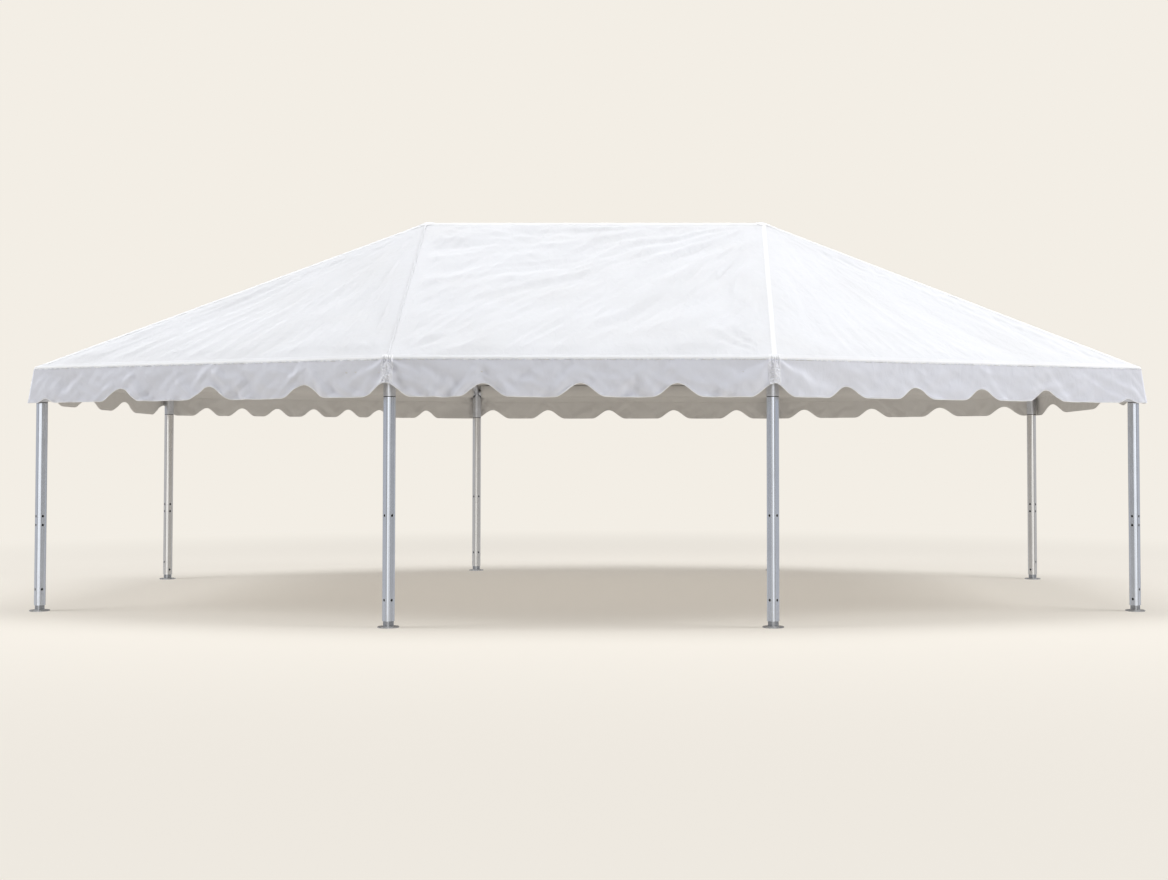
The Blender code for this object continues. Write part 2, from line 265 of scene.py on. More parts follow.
def noise(x, y, seed):
    """Smooth wave pattern over a plane, about -1 to 1, the same for the same seed."""
    angles = np.random.default_rng(seed).uniform(0, 2 * math.pi, 4096)
    column = np.floor(x).astype(int)
    row = np.floor(y).astype(int)
    x_in = x - column
    y_in = y - row

    def slope(right, up):
        angle = angles[((column + right) * 73 + (row + up) * 1031) % 4096]
        return np.cos(angle) * (x_in - right) + np.sin(angle) * (y_in - up)

    x_mix = x_in**3 * (x_in * (x_in * 6 - 15) + 10)
    y_mix = y_in**3 * (y_in * (y_in * 6 - 15) + 10)
    low = mix(slope(0, 0), slope(1, 0), x_mix)
    high = mix(slope(0, 1), slope(1, 1), x_mix)
    return 1.5 * mix(low, high, y_mix)


def crease(values, softness=0.08):
    """Turn waves into narrow raised lines between flatter places, about -1 to 1."""
    return 1 - 2.4 * np.sqrt(values**2 + softness**2)


def outward(side):
    """Horizontal unit vector out of one side of the plan."""
    run = unit(CORNERS[(side + 1) % 8] - CORNERS[side % 8])
    return np.array((run[1], -run[0]))


def corner_out(corner, distance):
    """Corner of the plan once every side has moved out by a distance."""
    before = outward(corner - 1)
    after = outward(corner)
    return CORNERS[corner % 8] + (before + after) * distance / (1 + before @ after)


def ridge_end(corner):
    """Ridge end that the hip from a corner climbs to."""
    x = math.copysign(HALF_RIDGE, CORNERS[corner % 8][0])
    return np.array((x, 0.0, PEAK_HEIGHT + SKIN))


def eave_corner(corner):
    """Corner of the eave on the outer face of the cloth."""
    return np.array((*corner_out(corner, EAVE_OVERHANG + SKIN), EAVE_HEIGHT + SKIN * 0.7))


def hem_corner(corner):
    """Lowest point of the valance below a corner."""
    out = EAVE_OVERHANG + VALANCE_FLARE + SKIN
    return np.array((*corner_out(corner, out), EAVE_HEIGHT - VALANCE_DEPTH))


def hip_point(corner, height):
    """Points on a hip at heights above the eave."""
    low = eave_corner(corner)
    high = ridge_end(corner)
    return low + np.multiply.outer(height, high - low) / (high[2] - low[2])


class Side:
    """Lines and directions of one side of the cloth."""

    def __init__(self, index):
        self.low_a, self.low_b = eave_corner(index), eave_corner(index + 1)
        self.hem_a, self.hem_b = hem_corner(index), hem_corner(index + 1)
        self.top_a, self.top_b = ridge_end(index), ridge_end(index + 1)
        self.length = np.linalg.norm(self.low_b - self.low_a)
        self.along = (self.low_b - self.low_a) / self.length
        self.roof_normal = unit(np.cross(self.along, self.top_a - self.low_a))
        self.up = np.cross(self.roof_normal, self.along)
        wall_up = self.low_a - (self.hem_a + self.hem_b - self.low_b)
        self.wall_normal = unit(np.cross(wall_up, self.along) * -1)
        self.slope_length = (self.top_a - self.low_a) @ self.up


LINES = [Side(index) for index in range(8)]
RUN_STARTS = np.concatenate(([0], np.cumsum([line.length for line in LINES])))
PERIMETER = RUN_STARTS[-1]


def into_facet(side, corner):
    """Unit vector in a roof facet, square to one of its hips and pointing into it."""
    line = LINES[side % 8]
    hip = unit(ridge_end(corner) - eave_corner(corner))
    across = np.cross(line.roof_normal, hip)
    middle = (line.low_a + line.low_b + line.top_a + line.top_b) / 4
    return across * math.copysign(1, (middle - eave_corner(corner)) @ across)


# How the frame holds the roof cloth down near hips, eave and ridge: where it lifts, and over what length
ROOF_SAG = 0.022
HIP_HOLD = (0.035, 0.17)
EAVE_HOLD = (0.035, 0.22)
RIDGE_HOLD = (0.06, 0.12)
CREASE_GAIN = 1.3
# Strength and reach of the creases over the middle facets, from the left ridge end and from the right one
LEFT_STREAKS = (3.4, 0.55)
RIGHT_STREAKS = (2.4, 2.4)
# Strength of the creases over the left and right end sections, and how far all of those reach
END_STREAKS = (1.0, 0.42)
END_REACH = 9.0
# Short creases that spread from the leg tops: steepness and reach, at middle and end corners
MID_FAN = (0.052, 0.28)
END_FAN = (0.030, 0.35)
# Puckers along hips, ridge and eave: height, how far off the line their middle lies, and half width
MID_PUCKER = (0.0072, 0.08, 0.055)
END_PUCKER = (0.0080, 0.17, 0.07)
RIDGE_PUCKER = (0.0035, 0.22, 0.10)
EAVE_PUCKER = (0.0022, 0.20, 0.09)
# Crumples all over the roof: height, how many to a metre, seed
CRUMPLES = ((0.0010, 4.2, 51), (0.0004, 9.5, 52))
# Creases that run out from the ridge ends: how many to a radian, where they start, and their steepness
STREAKS = ((5.0, 0.05, 0.013), (11.0, 0.25, 0.014), (23.0, 0.6, 0.013), (43.0, 1.1, 0.009))
# Creases across the middle facets: how many to a metre, and their steepness
CROSSINGS = ((2.3, 0.007), (5.0, 0.012), (9.0, 0.014), (15.0, 0.012))
CROSSING_LEAN = 0.52


def streaks(points, centre, seed, reach):
    """Creases that run out from a point, more of them the further they run."""
    inwards = math.copysign(1, -centre[0])
    dx = points[:, 0] - centre[0]
    dy = points[:, 1] - centre[1]
    radius = np.hypot(dx, dy)
    angle = np.arctan2(dy * inwards, dx * inwards)
    bend = 0.45 * noise(radius * 1.2, angle * 2.2, seed + 1)
    rise = np.zeros(len(points))
    for lines, start, steepness in STREAKS:
        waves = noise(angle * lines + bend, radius * 0.75 + lines, seed + int(lines))
        rise += steepness * radius / lines * 2.6 * crease(waves) * ramp(radius, start, 0.4)
    return rise * np.exp(-radius / reach) * smooth_step(radius / 0.10)


def eave_fan(points, centre, steepness, reach, seed):
    """Short creases that spread up the roof from a leg top."""
    dx = points[:, 0] - centre[0]
    dy = points[:, 1] - centre[1]
    radius = np.hypot(dx, dy)
    waves = noise(np.arctan2(dy, dx) * 3.4, radius * 0.8, seed)
    return steepness * radius * crease(waves) * np.exp(-radius / reach) * ramp(radius, 0.05, 0.1)


def hip_distances(side, points):
    """Both corners of a facet, with how far points lie from the hip above each and how far along it."""
    hips = []
    for corner in (side, side + 1):
        foot = eave_corner(corner)
        into = (points - foot) @ into_facet(side, corner)
        run = (points - foot) @ unit(ridge_end(corner) - foot)
        hips.append((corner % 8, into, run))
    return hips


def middle_creases(side, points, along, up, below_top):
    """Creases of a middle facet: out from both ridge ends, leaning across it, and under the ridge."""
    line = LINES[side]
    front = side == 1
    left_end, right_end = (line.top_a, line.top_b) if front else (line.top_b, line.top_a)
    from_left = along if front else line.length - along
    strength, reach = LEFT_STREAKS
    rise = strength * streaks(points, left_end, 211, reach)
    strength, reach = RIGHT_STREAKS
    rise += strength * streaks(points, right_end, 212, reach)
    over = from_left - CROSSING_LEAN * up
    bend = 0.5 * noise(from_left * 0.9, up * 0.8, 213)
    for count, steepness in CROSSINGS:
        seed = 220 + int(count) + (1 if front else -1)
        waves = noise(over * count + bend, (up + from_left * 0.3) * 0.9 + count, seed)
        rise += steepness / count * 1.9 * crease(waves, 0.1)
    hang = noise(along * 8.5 + below_top * 5.0, below_top * 6.0, 231 + side)
    height, distance, width = RIDGE_PUCKER
    return rise + height * crease(hang, 0.15) * bell(below_top - distance, width)


def roof_rise(side, points):
    """Height of the tensioned cloth off its flat facet."""
    line = LINES[side % 8]
    up = (points - line.low_a) @ line.up
    along = (points - line.low_a) @ line.along
    below_top = line.slope_length - up
    hips = hip_distances(side, points)
    to_hips = np.minimum(hips[0][1], hips[1][1])
    held = ramp(to_hips, *HIP_HOLD) * ramp(up, *EAVE_HOLD)
    if side in MIDDLE_SIDES:
        held = held * ramp(below_top, *RIDGE_HOLD)
        width = line.length
        rise = middle_creases(side, points, along, up, below_top)
    else:
        width = line.length * np.clip(below_top / line.slope_length, 0.05, 1)
        strength = END_STREAKS[1 if line.top_a[0] > 0 else 0]
        rise = strength * streaks(points, line.top_a, 241 + side, END_REACH)
    across = np.clip(to_hips / (width / 2), 0, 1)
    drop = np.clip(below_top / line.slope_length, 0, 1)
    sag = -ROOF_SAG * np.sin(np.pi * drop) * np.sin(np.pi / 2 * across)
    for corner, into, run in hips:
        if corner in MID_CORNERS:
            fan, (height, distance, width) = MID_FAN, MID_PUCKER
            pucker = noise(run * 8.0 - into * 3.0, into * 8.0, 261 + corner)
        else:
            fan, (height, distance, width) = END_FAN, END_PUCKER
            pucker = crease(noise(run * 5.0 + into * 4.0, into * 7.0, 261 + corner), 0.15)
        rise += eave_fan(points, eave_corner(corner), *fan, 250 + corner)
        rise += height * pucker * bell(into - distance, width)
    ticks = crease(noise(along * 9.0 - up * 7.0, up * 4.0, 271 + side), 0.2)
    height, distance, width = EAVE_PUCKER
    rise += height * ticks * bell(up - distance, width)
    crumple = sum(
        height * noise(points[:, 0] * count, points[:, 1] * count, seed)
        for height, count, seed in CRUMPLES
    )
    return held * (sag + CREASE_GAIN * rise + crumple)


def link(name, vertices, faces, edges=(), smooth=True):
    """New mesh object at the origin."""
    mesh = bpy.data.meshes.new(name)
    mesh.from_pydata([tuple(v) for v in vertices], list(edges), list(faces))
    mesh.validate()
    if smooth:
        mesh.polygons.foreach_set("use_smooth", [True] * len(mesh.polygons))
    mesh.update()
    item = bpy.data.objects.new(name, mesh)
    bpy.context.scene.collection.objects.link(item)
    return item


def grid_faces(rows, columns, closed=False):
    """Quads between the points of a grid."""
    faces = []
    for row in range(rows - 1):
        for column in range(columns if closed else columns - 1):
            first = row * columns + column
            second = row * columns + (column + 1) % columns
            faces.append((first, first + columns, second + columns, second))
    return faces


def lay_flat_map(item, flat):
    """Store each point's place on the flat cloth, in metres, as a UV map."""
    layer = item.data.uv_layers.new(name="flat")
    corners = np.zeros(len(item.data.loops), int)
    item.data.loops.foreach_get("vertex_index", corners)
    layer.data.foreach_set("uv", flat[corners].astype(np.float32).ravel())


def store_edge(item, from_edge):
    """Store how far each point lies from the hem's edge, in metres."""
    edge = item.data.attributes.new("hem", "FLOAT", "POINT")
    edge.data.foreach_set("value", from_edge.astype(np.float32))


def fan_patch(line, low_a, low_b):
    """Triangles spreading from a ridge end, two more to a row each time."""
    points, faces = [line.top_a], []
    starts = [0]
    for row in range(1, ROOF_ROWS + 1):
        share = row / ROOF_ROWS
        start, end = mix(line.top_a, low_a, share), mix(line.top_a, low_b, share)
        starts.append(len(points))
        points.extend(mix(start, end, column / (2 * row)) for column in range(2 * row + 1))
    for row in range(ROOF_ROWS):
        upper, lower = starts[row], starts[row + 1]
        upper_count, lower_count = 2 * row, 2 * row + 2
        left, right = 0, 0
        while left < upper_count or right < lower_count:
            lower_behind = (right + 1) * max(upper_count, 1) <= (left + 1) * lower_count
            if left == upper_count or (right < lower_count and lower_behind):
                faces.append((upper + left, lower + right, lower + right + 1))
                right += 1
            else:
                faces.append((upper + left, lower + right, upper + left + 1))
                left += 1
    return np.array(points), faces


def facet_patch(side):
    """Points, faces and flat places of one roof facet, down to just above the eave."""
    line = LINES[side]
    low_a, low_b = hip_point(side, ROOF_EDGE), hip_point(side + 1, ROOF_EDGE)
    if side in MIDDLE_SIDES:
        down = np.linspace(0, 1, ROOF_ROWS + 1)[:, None, None]
        over = np.linspace(0, 1, MIDDLE_COLUMNS + 1)[None, :, None]
        start = mix(line.top_a, low_a, down)
        end = mix(line.top_b, low_b, down)
        points = mix(start, end, over).reshape(-1, 3)
        faces = grid_faces(ROOF_ROWS + 1, MIDDLE_COLUMNS + 1)
    else:
        points, faces = fan_patch(line, low_a, low_b)
    flat = np.stack([(points - low_a) @ line.along, (points - low_a) @ line.up], axis=1)
    return points, faces, flat


def roof_section(name, sides):
    """One section of the roof, as a single stretched sheet over its facets."""
    all_points, all_faces, all_flat = [], [], []
    count = 0
    for side in sides:
        points, faces, flat = facet_patch(side)
        all_points.append(points + roof_rise(side, points)[:, None] * LINES[side].roof_normal)
        all_flat.append(flat + np.array((side * FLAT_APART, 0)))
        all_faces.extend(tuple(corner + count for corner in face) for face in faces)
        count += len(points)
    roof = link(name, np.concatenate(all_points), all_faces)
    lay_flat_map(roof, np.concatenate(all_flat))
    work = bmesh.new()
    work.from_mesh(roof.data)
    bmesh.ops.remove_doubles(work, verts=work.verts, dist=JOIN_WITHIN)
    work.to_mesh(roof.data)
    work.free()
    return roof


def seam_band(name, start, end, sides, intos, half_width, rows, seed):
    """Doubled strip over a hip or the ridge, lying on both facets beside it."""
    across = np.linspace(-1, 1, BAND_COLUMNS) * half_width
    to_edge = np.abs(across) / half_width
    run = np.linspace(0, 1, rows)
    length = np.linalg.norm(end - start)
    flatter = BAND_ROUNDING * 0.5 * (1 - (across / half_width) ** 2)
    soft = np.sqrt(across**2 + BAND_ROUNDING**2) - flatter
    inward, sideways = (intos[0] + intos[1]) / 2, (intos[1] - intos[0]) / 2
    spine = mix(start, end, run[:, None])
    points = spine[:, None] + soft[None, :, None] * inward + across[None, :, None] * sideways
    flat_points = points.reshape(-1, 3)
    right = np.broadcast_to(across > 0, points.shape[:2]).reshape(-1)
    rise = np.where(right, roof_rise(sides[1], flat_points), roof_rise(sides[0], flat_points))
    normals = [LINES[side].roof_normal for side in sides]
    facing = units(mix(normals[0], normals[1], smooth_step(across / BAND_TURN + 0.5)[:, None]))
    step, from_top, over = CROWN_STEP
    to_top = (1 - run) * length
    lift = BAND_LIFT + BAND_ARCH * (1 - to_edge)[None, :]
    if half_width < NARROW_BAND:
        lift = lift + step * smooth_step((from_top - to_top) / over)[:, None]
    lengthways, sideways_place = np.broadcast_arrays((run * length)[:, None], across[None, :])
    pucker = noise(lengthways * 26, sideways_place * 30, seed)
    pucker = pucker + 0.8 * noise(lengthways * 11, sideways_place * 14, seed + 1)
    lift = lift + BAND_PUCKER * np.clip(pucker, -0.5, 2) * (0.35 + 0.65 * smooth_step(to_edge))
    points = points + facing[None] * (lift + rise.reshape(lift.shape))[:, :, None]
    band = link(name, points.reshape(-1, 3), grid_faces(rows, len(across)))
    lay_flat_map(band, np.stack([lengthways, sideways_place], axis=2).reshape(-1, 2))
    stitched = [points[:, column] + facing[column] * STITCH_LIFT for column in (1, len(across) - 2)]
    return band, stitched


def roof_height(x, y):
    """Height of the eight facets, with the creases between them softened."""
    planes = []
    for line in LINES:
        normal = line.roof_normal
        offset = (x - line.low_a[0]) * normal[0] + (y - line.low_a[1]) * normal[1]
        planes.append(line.low_a[2] - offset / normal[2])
    blend = np.sum(np.exp(-CREASE_SHARPNESS * (np.array(planes) - PEAK_HEIGHT)), axis=0)
    return -np.log(blend) / CREASE_SHARPNESS + PEAK_HEIGHT


def crown_patch(name, sign):
    """Round reinforcing patch over a ridge end."""
    rings, spokes = 14, 56
    middle_x = sign * HALF_RIDGE
    share = np.linspace(0.0, 1.0, rings + 1)[1:, None]
    radius = share * CROWN_PATCH
    angle = np.linspace(0, 2 * math.pi, spokes, endpoint=False)[None, :]
    x = middle_x + radius * np.cos(angle)
    y = radius * np.sin(angle)
    ripple = PATCH_RIPPLE * np.cos(angle * 11 + 0.7 * sign) * share
    z = roof_height(x, y) + PATCH_LIFT - PATCH_DROP * share**2 + ripple
    points = np.stack([x, y, z], axis=2)
    top_z = roof_height(np.array(middle_x), np.array(0.0)) + PATCH_LIFT
    faces = [(rings * spokes, spoke, (spoke + 1) % spokes) for spoke in range(spokes)]
    faces += grid_faces(rings, spokes, closed=True)
    patch = link(name, [*points.reshape(-1, 3), np.array((middle_x, 0.0, top_z))], faces)
    flat = np.stack([x - middle_x, y], axis=2).reshape(-1, 2)
    lay_flat_map(patch, np.concatenate([flat, [(0.0, 0.0)]]))
    ring = points[-2] + np.array((0, 0, STITCH_LIFT))
    return patch, np.concatenate([ring, ring[:1]])


def notch_rise(side, along):
    """Rise of the hem above its flat bottoms, along one side."""
    length = LINES[side].length
    middles, half_width, depth = NOTCHES[side]
    notches = [(middle, half_width, depth) for middle in middles]
    for corner, place in ((side, 0.0), ((side + 1) % 8, length)):
        if corner in NOTCHED_CORNERS:
            notches.append((place, half_width, MID_NOTCH_DEPTH))
        if corner in FLAP_CORNERS:
            gap, reach, small = END_NOTCH
            notches.append((abs(place - gap), reach, small))
    if side == 3:
        notches.append(RIGHT_END_RISE)
    rise = np.zeros(len(along))
    for middle, reach, depth in notches:
        share = np.clip(np.abs(along - middle) / reach, 0, 1)
        rise = np.maximum(rise, depth * (0.5 + 0.5 * np.cos(math.pi * share)))
    return rise


def hem_line(side, along):
    """Depth of the hem below the eave, and how much longer its slanted stretches are than level ones."""
    fine = np.linspace(0, LINES[side].length, HEM_SAMPLES)
    rise = notch_rise(side, fine)
    stretch = np.sqrt(1 + np.gradient(rise, fine) ** 2)
    return VALANCE_DEPTH - np.interp(along, fine, rise), np.interp(along, fine, stretch)


def fold_waves(around, down):
    """Billows and soft diagonal creases of the hanging valance."""
    share = np.clip(down / VALANCE_DEPTH, 0, 1)
    bend = 0.12 * noise(around * 1.7, down * 4, 71)
    broad = sum(
        crease(noise((around + down * lean + bend) * count, (down + around * drift) * 2.8, seed), 0.14)
        for lean, drift, count, seed in BROAD_CREASES
    )
    fine = sum(
        crease(noise((around + down * lean) * count, down * 5.0, seed), 0.15)
        for lean, count, seed in FINE_CREASES
    )
    billow = BILLOW * noise(around * 1.25, down * 0.8, 74)
    folds = BROAD_FOLD * broad * (0.35 + 0.65 * share) + FINE_FOLD * fine
    small = SMALL_FOLD * noise(around * 11, down * 9, 75)
    pucker = noise(around * 21, down * 7, 76) + 0.7 * noise(around * 43, down * 12, 77)
    below = SEAM_PUCKER * pucker * bell(down - BAND_BOTTOM - 0.012, 0.022)
    return ramp(down, 0.01, 0.10) * (billow * share + folds + small) + below


def add_corner_folds(folds, side, along, down):
    """Folds changed by the lacing, the end corners and the flaps at both ends of a side."""
    around = along + RUN_STARTS[side]
    share = np.clip(down / VALANCE_DEPTH, 0, 1)
    for corner, gap in ((side, along), ((side + 1) % 8, LINES[side].length - along)):
        if corner in MID_CORNERS:
            radius = np.hypot(gap, down)
            angle = np.arctan2(gap, np.maximum(down, 0) + 0.012)
            fan = np.cos(angle * 7.5 + 0.8 * noise(around * 3, down * 3, 80))
            folds = folds + LACING_FAN * radius * fan * np.exp(-radius / 0.15) * ramp(down, 0.012, 0.04)
            folds = folds + LACING_SWELL * bell(gap, 0.10) * share
        if corner in END_CORNERS:
            folds = folds * (0.12 + 0.88 * smooth_step(gap / 0.14))
        if corner in FLAP_CORNERS:
            folds = folds + FLAP_FLARE * smooth_step(1 - gap / 0.30) * share**1.2
            wave = np.cos((gap + down * 0.8) * 62 + 0.6) * np.exp(-gap / 0.13) * smooth_step(down / 0.06)
            folds = folds + FLAP_WAVE * wave * smooth_step(gap / 0.08)
    return folds


def add_notch_folds(folds, side, along, down):
    """Folds with the pulls that run down both flanks of each notch, and the hollow over it."""
    share = np.clip(down / VALANCE_DEPTH, 0, 1)
    calm = FOLD_SHARES[side]
    spots, half_width, _ = NOTCHES[side]
    spots = list(spots)
    if side in NOTCHED_CORNERS:
        spots.append(0.0)
    if (side + 1) % 8 in NOTCHED_CORNERS:
        spots.append(LINES[side].length)
    for number, spot in enumerate(spots):
        for way in (-1, 1):
            strength = NOTCH_PULL * (1 + 0.5 * math.sin(7.3 * number + 2.1 * side + way))
            gap = along - spot - way * (0.012 + half_width * 1.12 * share**1.25)
            pull = bell(gap, 0.038) - 0.5 * bell(gap - way * 0.070, 0.050)
            folds = folds + calm * strength * pull * smooth_step(share / 0.3)
        right = NOTCH_FLANKS[0] * bell(along - spot - half_width * 0.78, 0.052)
        left = NOTCH_FLANKS[1] * bell(along - spot + half_width * 0.86, 0.045)
        folds = folds + calm * (right + left) * ramp(share, 0.52, 0.48)
        folds = folds - calm * NOTCH_HOLLOW * bell(along - spot, 0.06) * ramp(share, 0.35, 0.4)
    return folds


def cloth_folds(side, along, down):
    """Distance of the valance off its plain shape, outwards."""
    around = along + RUN_STARTS[side]
    closing = ramp(around, PERIMETER - CLOSING, CLOSING)
    folds = mix(fold_waves(around, down), fold_waves(around - PERIMETER, down), closing)
    own = FOLD_SHARES[side]
    from_start = 0.5 + 0.5 * smooth_step(along / 0.3)
    from_end = 0.5 + 0.5 * smooth_step((LINES[side].length - along) / 0.3)
    before = mix(FOLD_SHARES[side - 1], own, from_start)
    after = mix(FOLD_SHARES[(side + 1) % 8], own, from_end)
    folds = add_corner_folds(folds * (before + after - own), side, along, down)
    folds = add_notch_folds(folds, side, along, down)
    inner_room = 0.009 + 0.02 * np.clip(down / VALANCE_DEPTH, 0, 1)
    return np.where(folds < 0, -inner_room * np.tanh(-folds / inner_room), folds)


def sheet_place(side, along, down):
    """Places on the plain valance sheet: up the roof, round the eave and down the wall."""
    line = LINES[side]
    share = along[..., None] / line.length
    height = np.maximum(-down, FOLD_IN) * line.up[2]
    upper = mix(hip_point(side, height), hip_point(side + 1, height), share)
    eave = mix(line.low_a, line.low_b, share)
    hem = mix(line.hem_a, line.hem_b, share)
    lower = mix(eave, hem, (np.maximum(down, FOLD_OUT) / VALANCE_DEPTH)[..., None])
    bend = np.clip((down + FOLD_IN) / (FOLD_IN + FOLD_OUT), 0, 1)[..., None]
    keep = 1 - bend
    fold = upper * keep**2 + eave * 2 * keep * bend + lower * bend**2
    wide = down[..., None]
    return np.where(wide < -FOLD_IN, upper, np.where(wide > FOLD_OUT, lower, fold))


def sheet_facing(side, down):
    """Unit vectors out of a side's sheet at depths below the eave."""
    line = LINES[side % 8]
    turn = smooth_step((down + FOLD_IN) / (FOLD_IN + FOLD_OUT))[..., None]
    return units(mix(line.roof_normal, line.wall_normal, turn))


def cloth_place(side, along, down, lift=0.0):
    """Places on the folded valance sheet, lifted off its face."""
    around = along + RUN_STARTS[side]
    near_start = smooth_step(1 - along / 0.10)[..., None] * 0.5
    near_end = smooth_step(1 - (LINES[side].length - along) / 0.10)[..., None] * 0.5
    facing = sheet_facing(side, down) * (1 - near_start - near_end)
    facing = facing + sheet_facing(side - 1, down) * near_start
    facing = units(facing + sheet_facing(side + 1, down) * near_end)
    ruffle = LAP_RUFFLE * noise(around * 19, down * 20, 82) * bell(down + 0.05, 0.04)
    off = cloth_folds(side, along, down) + LAP_LIFT * smooth_step(-down / 0.02) + ruffle
    ragged = BAND_BOTTOM + 0.004 * noise(around * 17, down * 0, 81)
    off = off + DOUBLED_STEP * smooth_step((ragged - down) / 0.006 + 0.5)
    return sheet_place(side, along, down) + facing * (off + lift)[..., None]


def valance_rows(side, along):
    """Depths of the valance's rows below the eave, for each place along it."""
    full, stretch = hem_line(side, along)
    fixed = [
        *np.linspace(-BAND_TOP, -FOLD_IN, 5)[:-1],
        *np.linspace(-FOLD_IN, FOLD_OUT, 8),
        BAND_BOTTOM,
        BAND_BOTTOM + 0.003,
    ]
    hem_steps = (HEM_DEPTH + 0.005, HEM_DEPTH + 0.0012, HEM_DEPTH - 0.0012, HEM_DEPTH * 0.5, 0.002, 0.0)
    upper = full - hem_steps[0] * stretch
    rows = [np.full(len(along), depth) for depth in fixed]
    rows += [mix(fixed[-1], upper, step / BODY_ROWS) for step in range(1, BODY_ROWS)]
    rows += [full - from_edge * stretch for from_edge in hem_steps]
    return np.array(rows), full, stretch


def hang_valance(side):
    """Valance of one side, with the doubled band along the eave, its folds and its hem."""
    length = LINES[side].length
    along = np.linspace(0, length, int(round(length / VALANCE_STEP)) + 1)
    downs, full, stretch = valance_rows(side, along)
    wide = np.broadcast_to(along, downs.shape)
    from_edge = (full - downs) / stretch
    hem = HEM_STEP * smooth_step((HEM_DEPTH - from_edge) / 0.003 + 0.5)
    points = cloth_place(side, wide, downs, hem - HEM_ROUNDING * bell(from_edge, 0.002))
    valance = link("valance_" + SIDES[side], points.reshape(-1, 3), grid_faces(*downs.shape))
    lay_flat_map(valance, np.stack([wide + RUN_STARTS[side], -downs], axis=2).reshape(-1, 2))
    store_edge(valance, from_edge.ravel())
    seam = cloth_place(side, along, full - (HEM_DEPTH - 0.003) * stretch, 0.0022)
    depths = (BAND_BOTTOM - 0.007, -BAND_TOP + 0.008)
    eave_seams = [cloth_place(side, along, np.full(len(along), depth), 0.0008) for depth in depths]
    return valance, seam, eave_seams


def gather_lift(gap, down, corner):
    """Height of the gathered strip off the valance: pinched pleats, sewn rungs and lumps."""
    edge = smooth_step((GATHER_HALF_WIDTH - np.abs(gap)) / 0.010)
    pinch = PLEAT_HEIGHT * np.cos(gap * 2 * math.pi / PLEAT_PITCH) * bell(down - 0.010, 0.030)
    rungs = np.cos(down * 2 * math.pi / RUNG_PITCH + 2.2 * noise(gap * 30, down * 9, 90 + corner))
    ladder = RUNG_HEIGHT * rungs * bell(np.abs(gap) - RUNG_PLACE, 0.008)
    lumps = LUMP_HEIGHT * noise(gap * 62 + 5, down * 42, 91 + corner)
    groove = -MIDDLE_GROOVE * bell(gap, 0.0034) - SIDE_GROOVE * bell(np.abs(gap) - 0.024, 0.003)
    return GATHER_LIFT + edge * (pinch + (ladder + lumps) * ramp(down, -0.01, 0.03) + groove + 0.002)


def gather(corner):
    """Gathered strip down the lacing at a middle corner, from the roof edge to the hem."""
    across = np.linspace(-1, 1, GATHER_COLUMNS) * GATHER_HALF_WIDTH
    points = np.zeros((GATHER_ROWS, GATHER_COLUMNS, 3))
    flat = np.zeros((GATHER_ROWS, GATHER_COLUMNS, 2))
    before = (corner - 1) % 8
    for side, chosen, start in ((before, across <= 0, LINES[before].length), (corner, across > 0, 0.0)):
        along = start + across[chosen]
        full = hem_line(side, along)[0]
        down = mix(-GATHER_TOP, full - 0.0015, np.linspace(0, 1, GATHER_ROWS)[:, None])
        wide = np.broadcast_to(along, down.shape)
        gap = np.broadcast_to(across[chosen], down.shape)
        points[:, chosen] = cloth_place(side, wide, down, gather_lift(gap, down, corner))
        flat[:, chosen] = np.stack([gap, -down], axis=2)
    strip = link("gather_" + CORNER_NAMES[corner], points.reshape(-1, 3), grid_faces(*points.shape[:2]))
    lay_flat_map(strip, flat.reshape(-1, 2))
    store_edge(strip, np.full(GATHER_ROWS * GATHER_COLUMNS, 0.0066))
    outwards = np.array((*unit(corner_out(corner, 1.0) - CORNERS[corner]), 0.0))
    return strip, [points[12:, column] + outwards * STITCH_LIFT for column in (9, 18, 27)]


def corner_tab(corner):
    """Inner flap that closes the small notches beside an end corner."""
    points, flat = [], []
    rows = np.linspace(FLAP_TOP, FLAP_BOTTOM, 8)
    span = np.linspace(-FLAP_REACH, 0.0, 15)[:-1], np.linspace(0.0, FLAP_REACH, 15)
    before = (corner - 1) % 8
    for side, start, reach in ((before, LINES[before].length, span[0]), (corner, 0.0, span[1])):
        wide, down = np.meshgrid(start + reach, rows)
        points.append(cloth_place(side, wide, down, -FLAP_INSET))
        flat.append(np.stack(np.meshgrid(reach, -rows), axis=2))
    grid = np.concatenate(points, axis=1)
    tab = link("corner_flap_" + CORNER_NAMES[corner], grid.reshape(-1, 3), grid_faces(*grid.shape[:2]))
    lay_flat_map(tab, np.concatenate(flat, axis=1).reshape(-1, 2))
    store_edge(tab, np.full(grid.shape[0] * grid.shape[1], 0.1))
    return tab


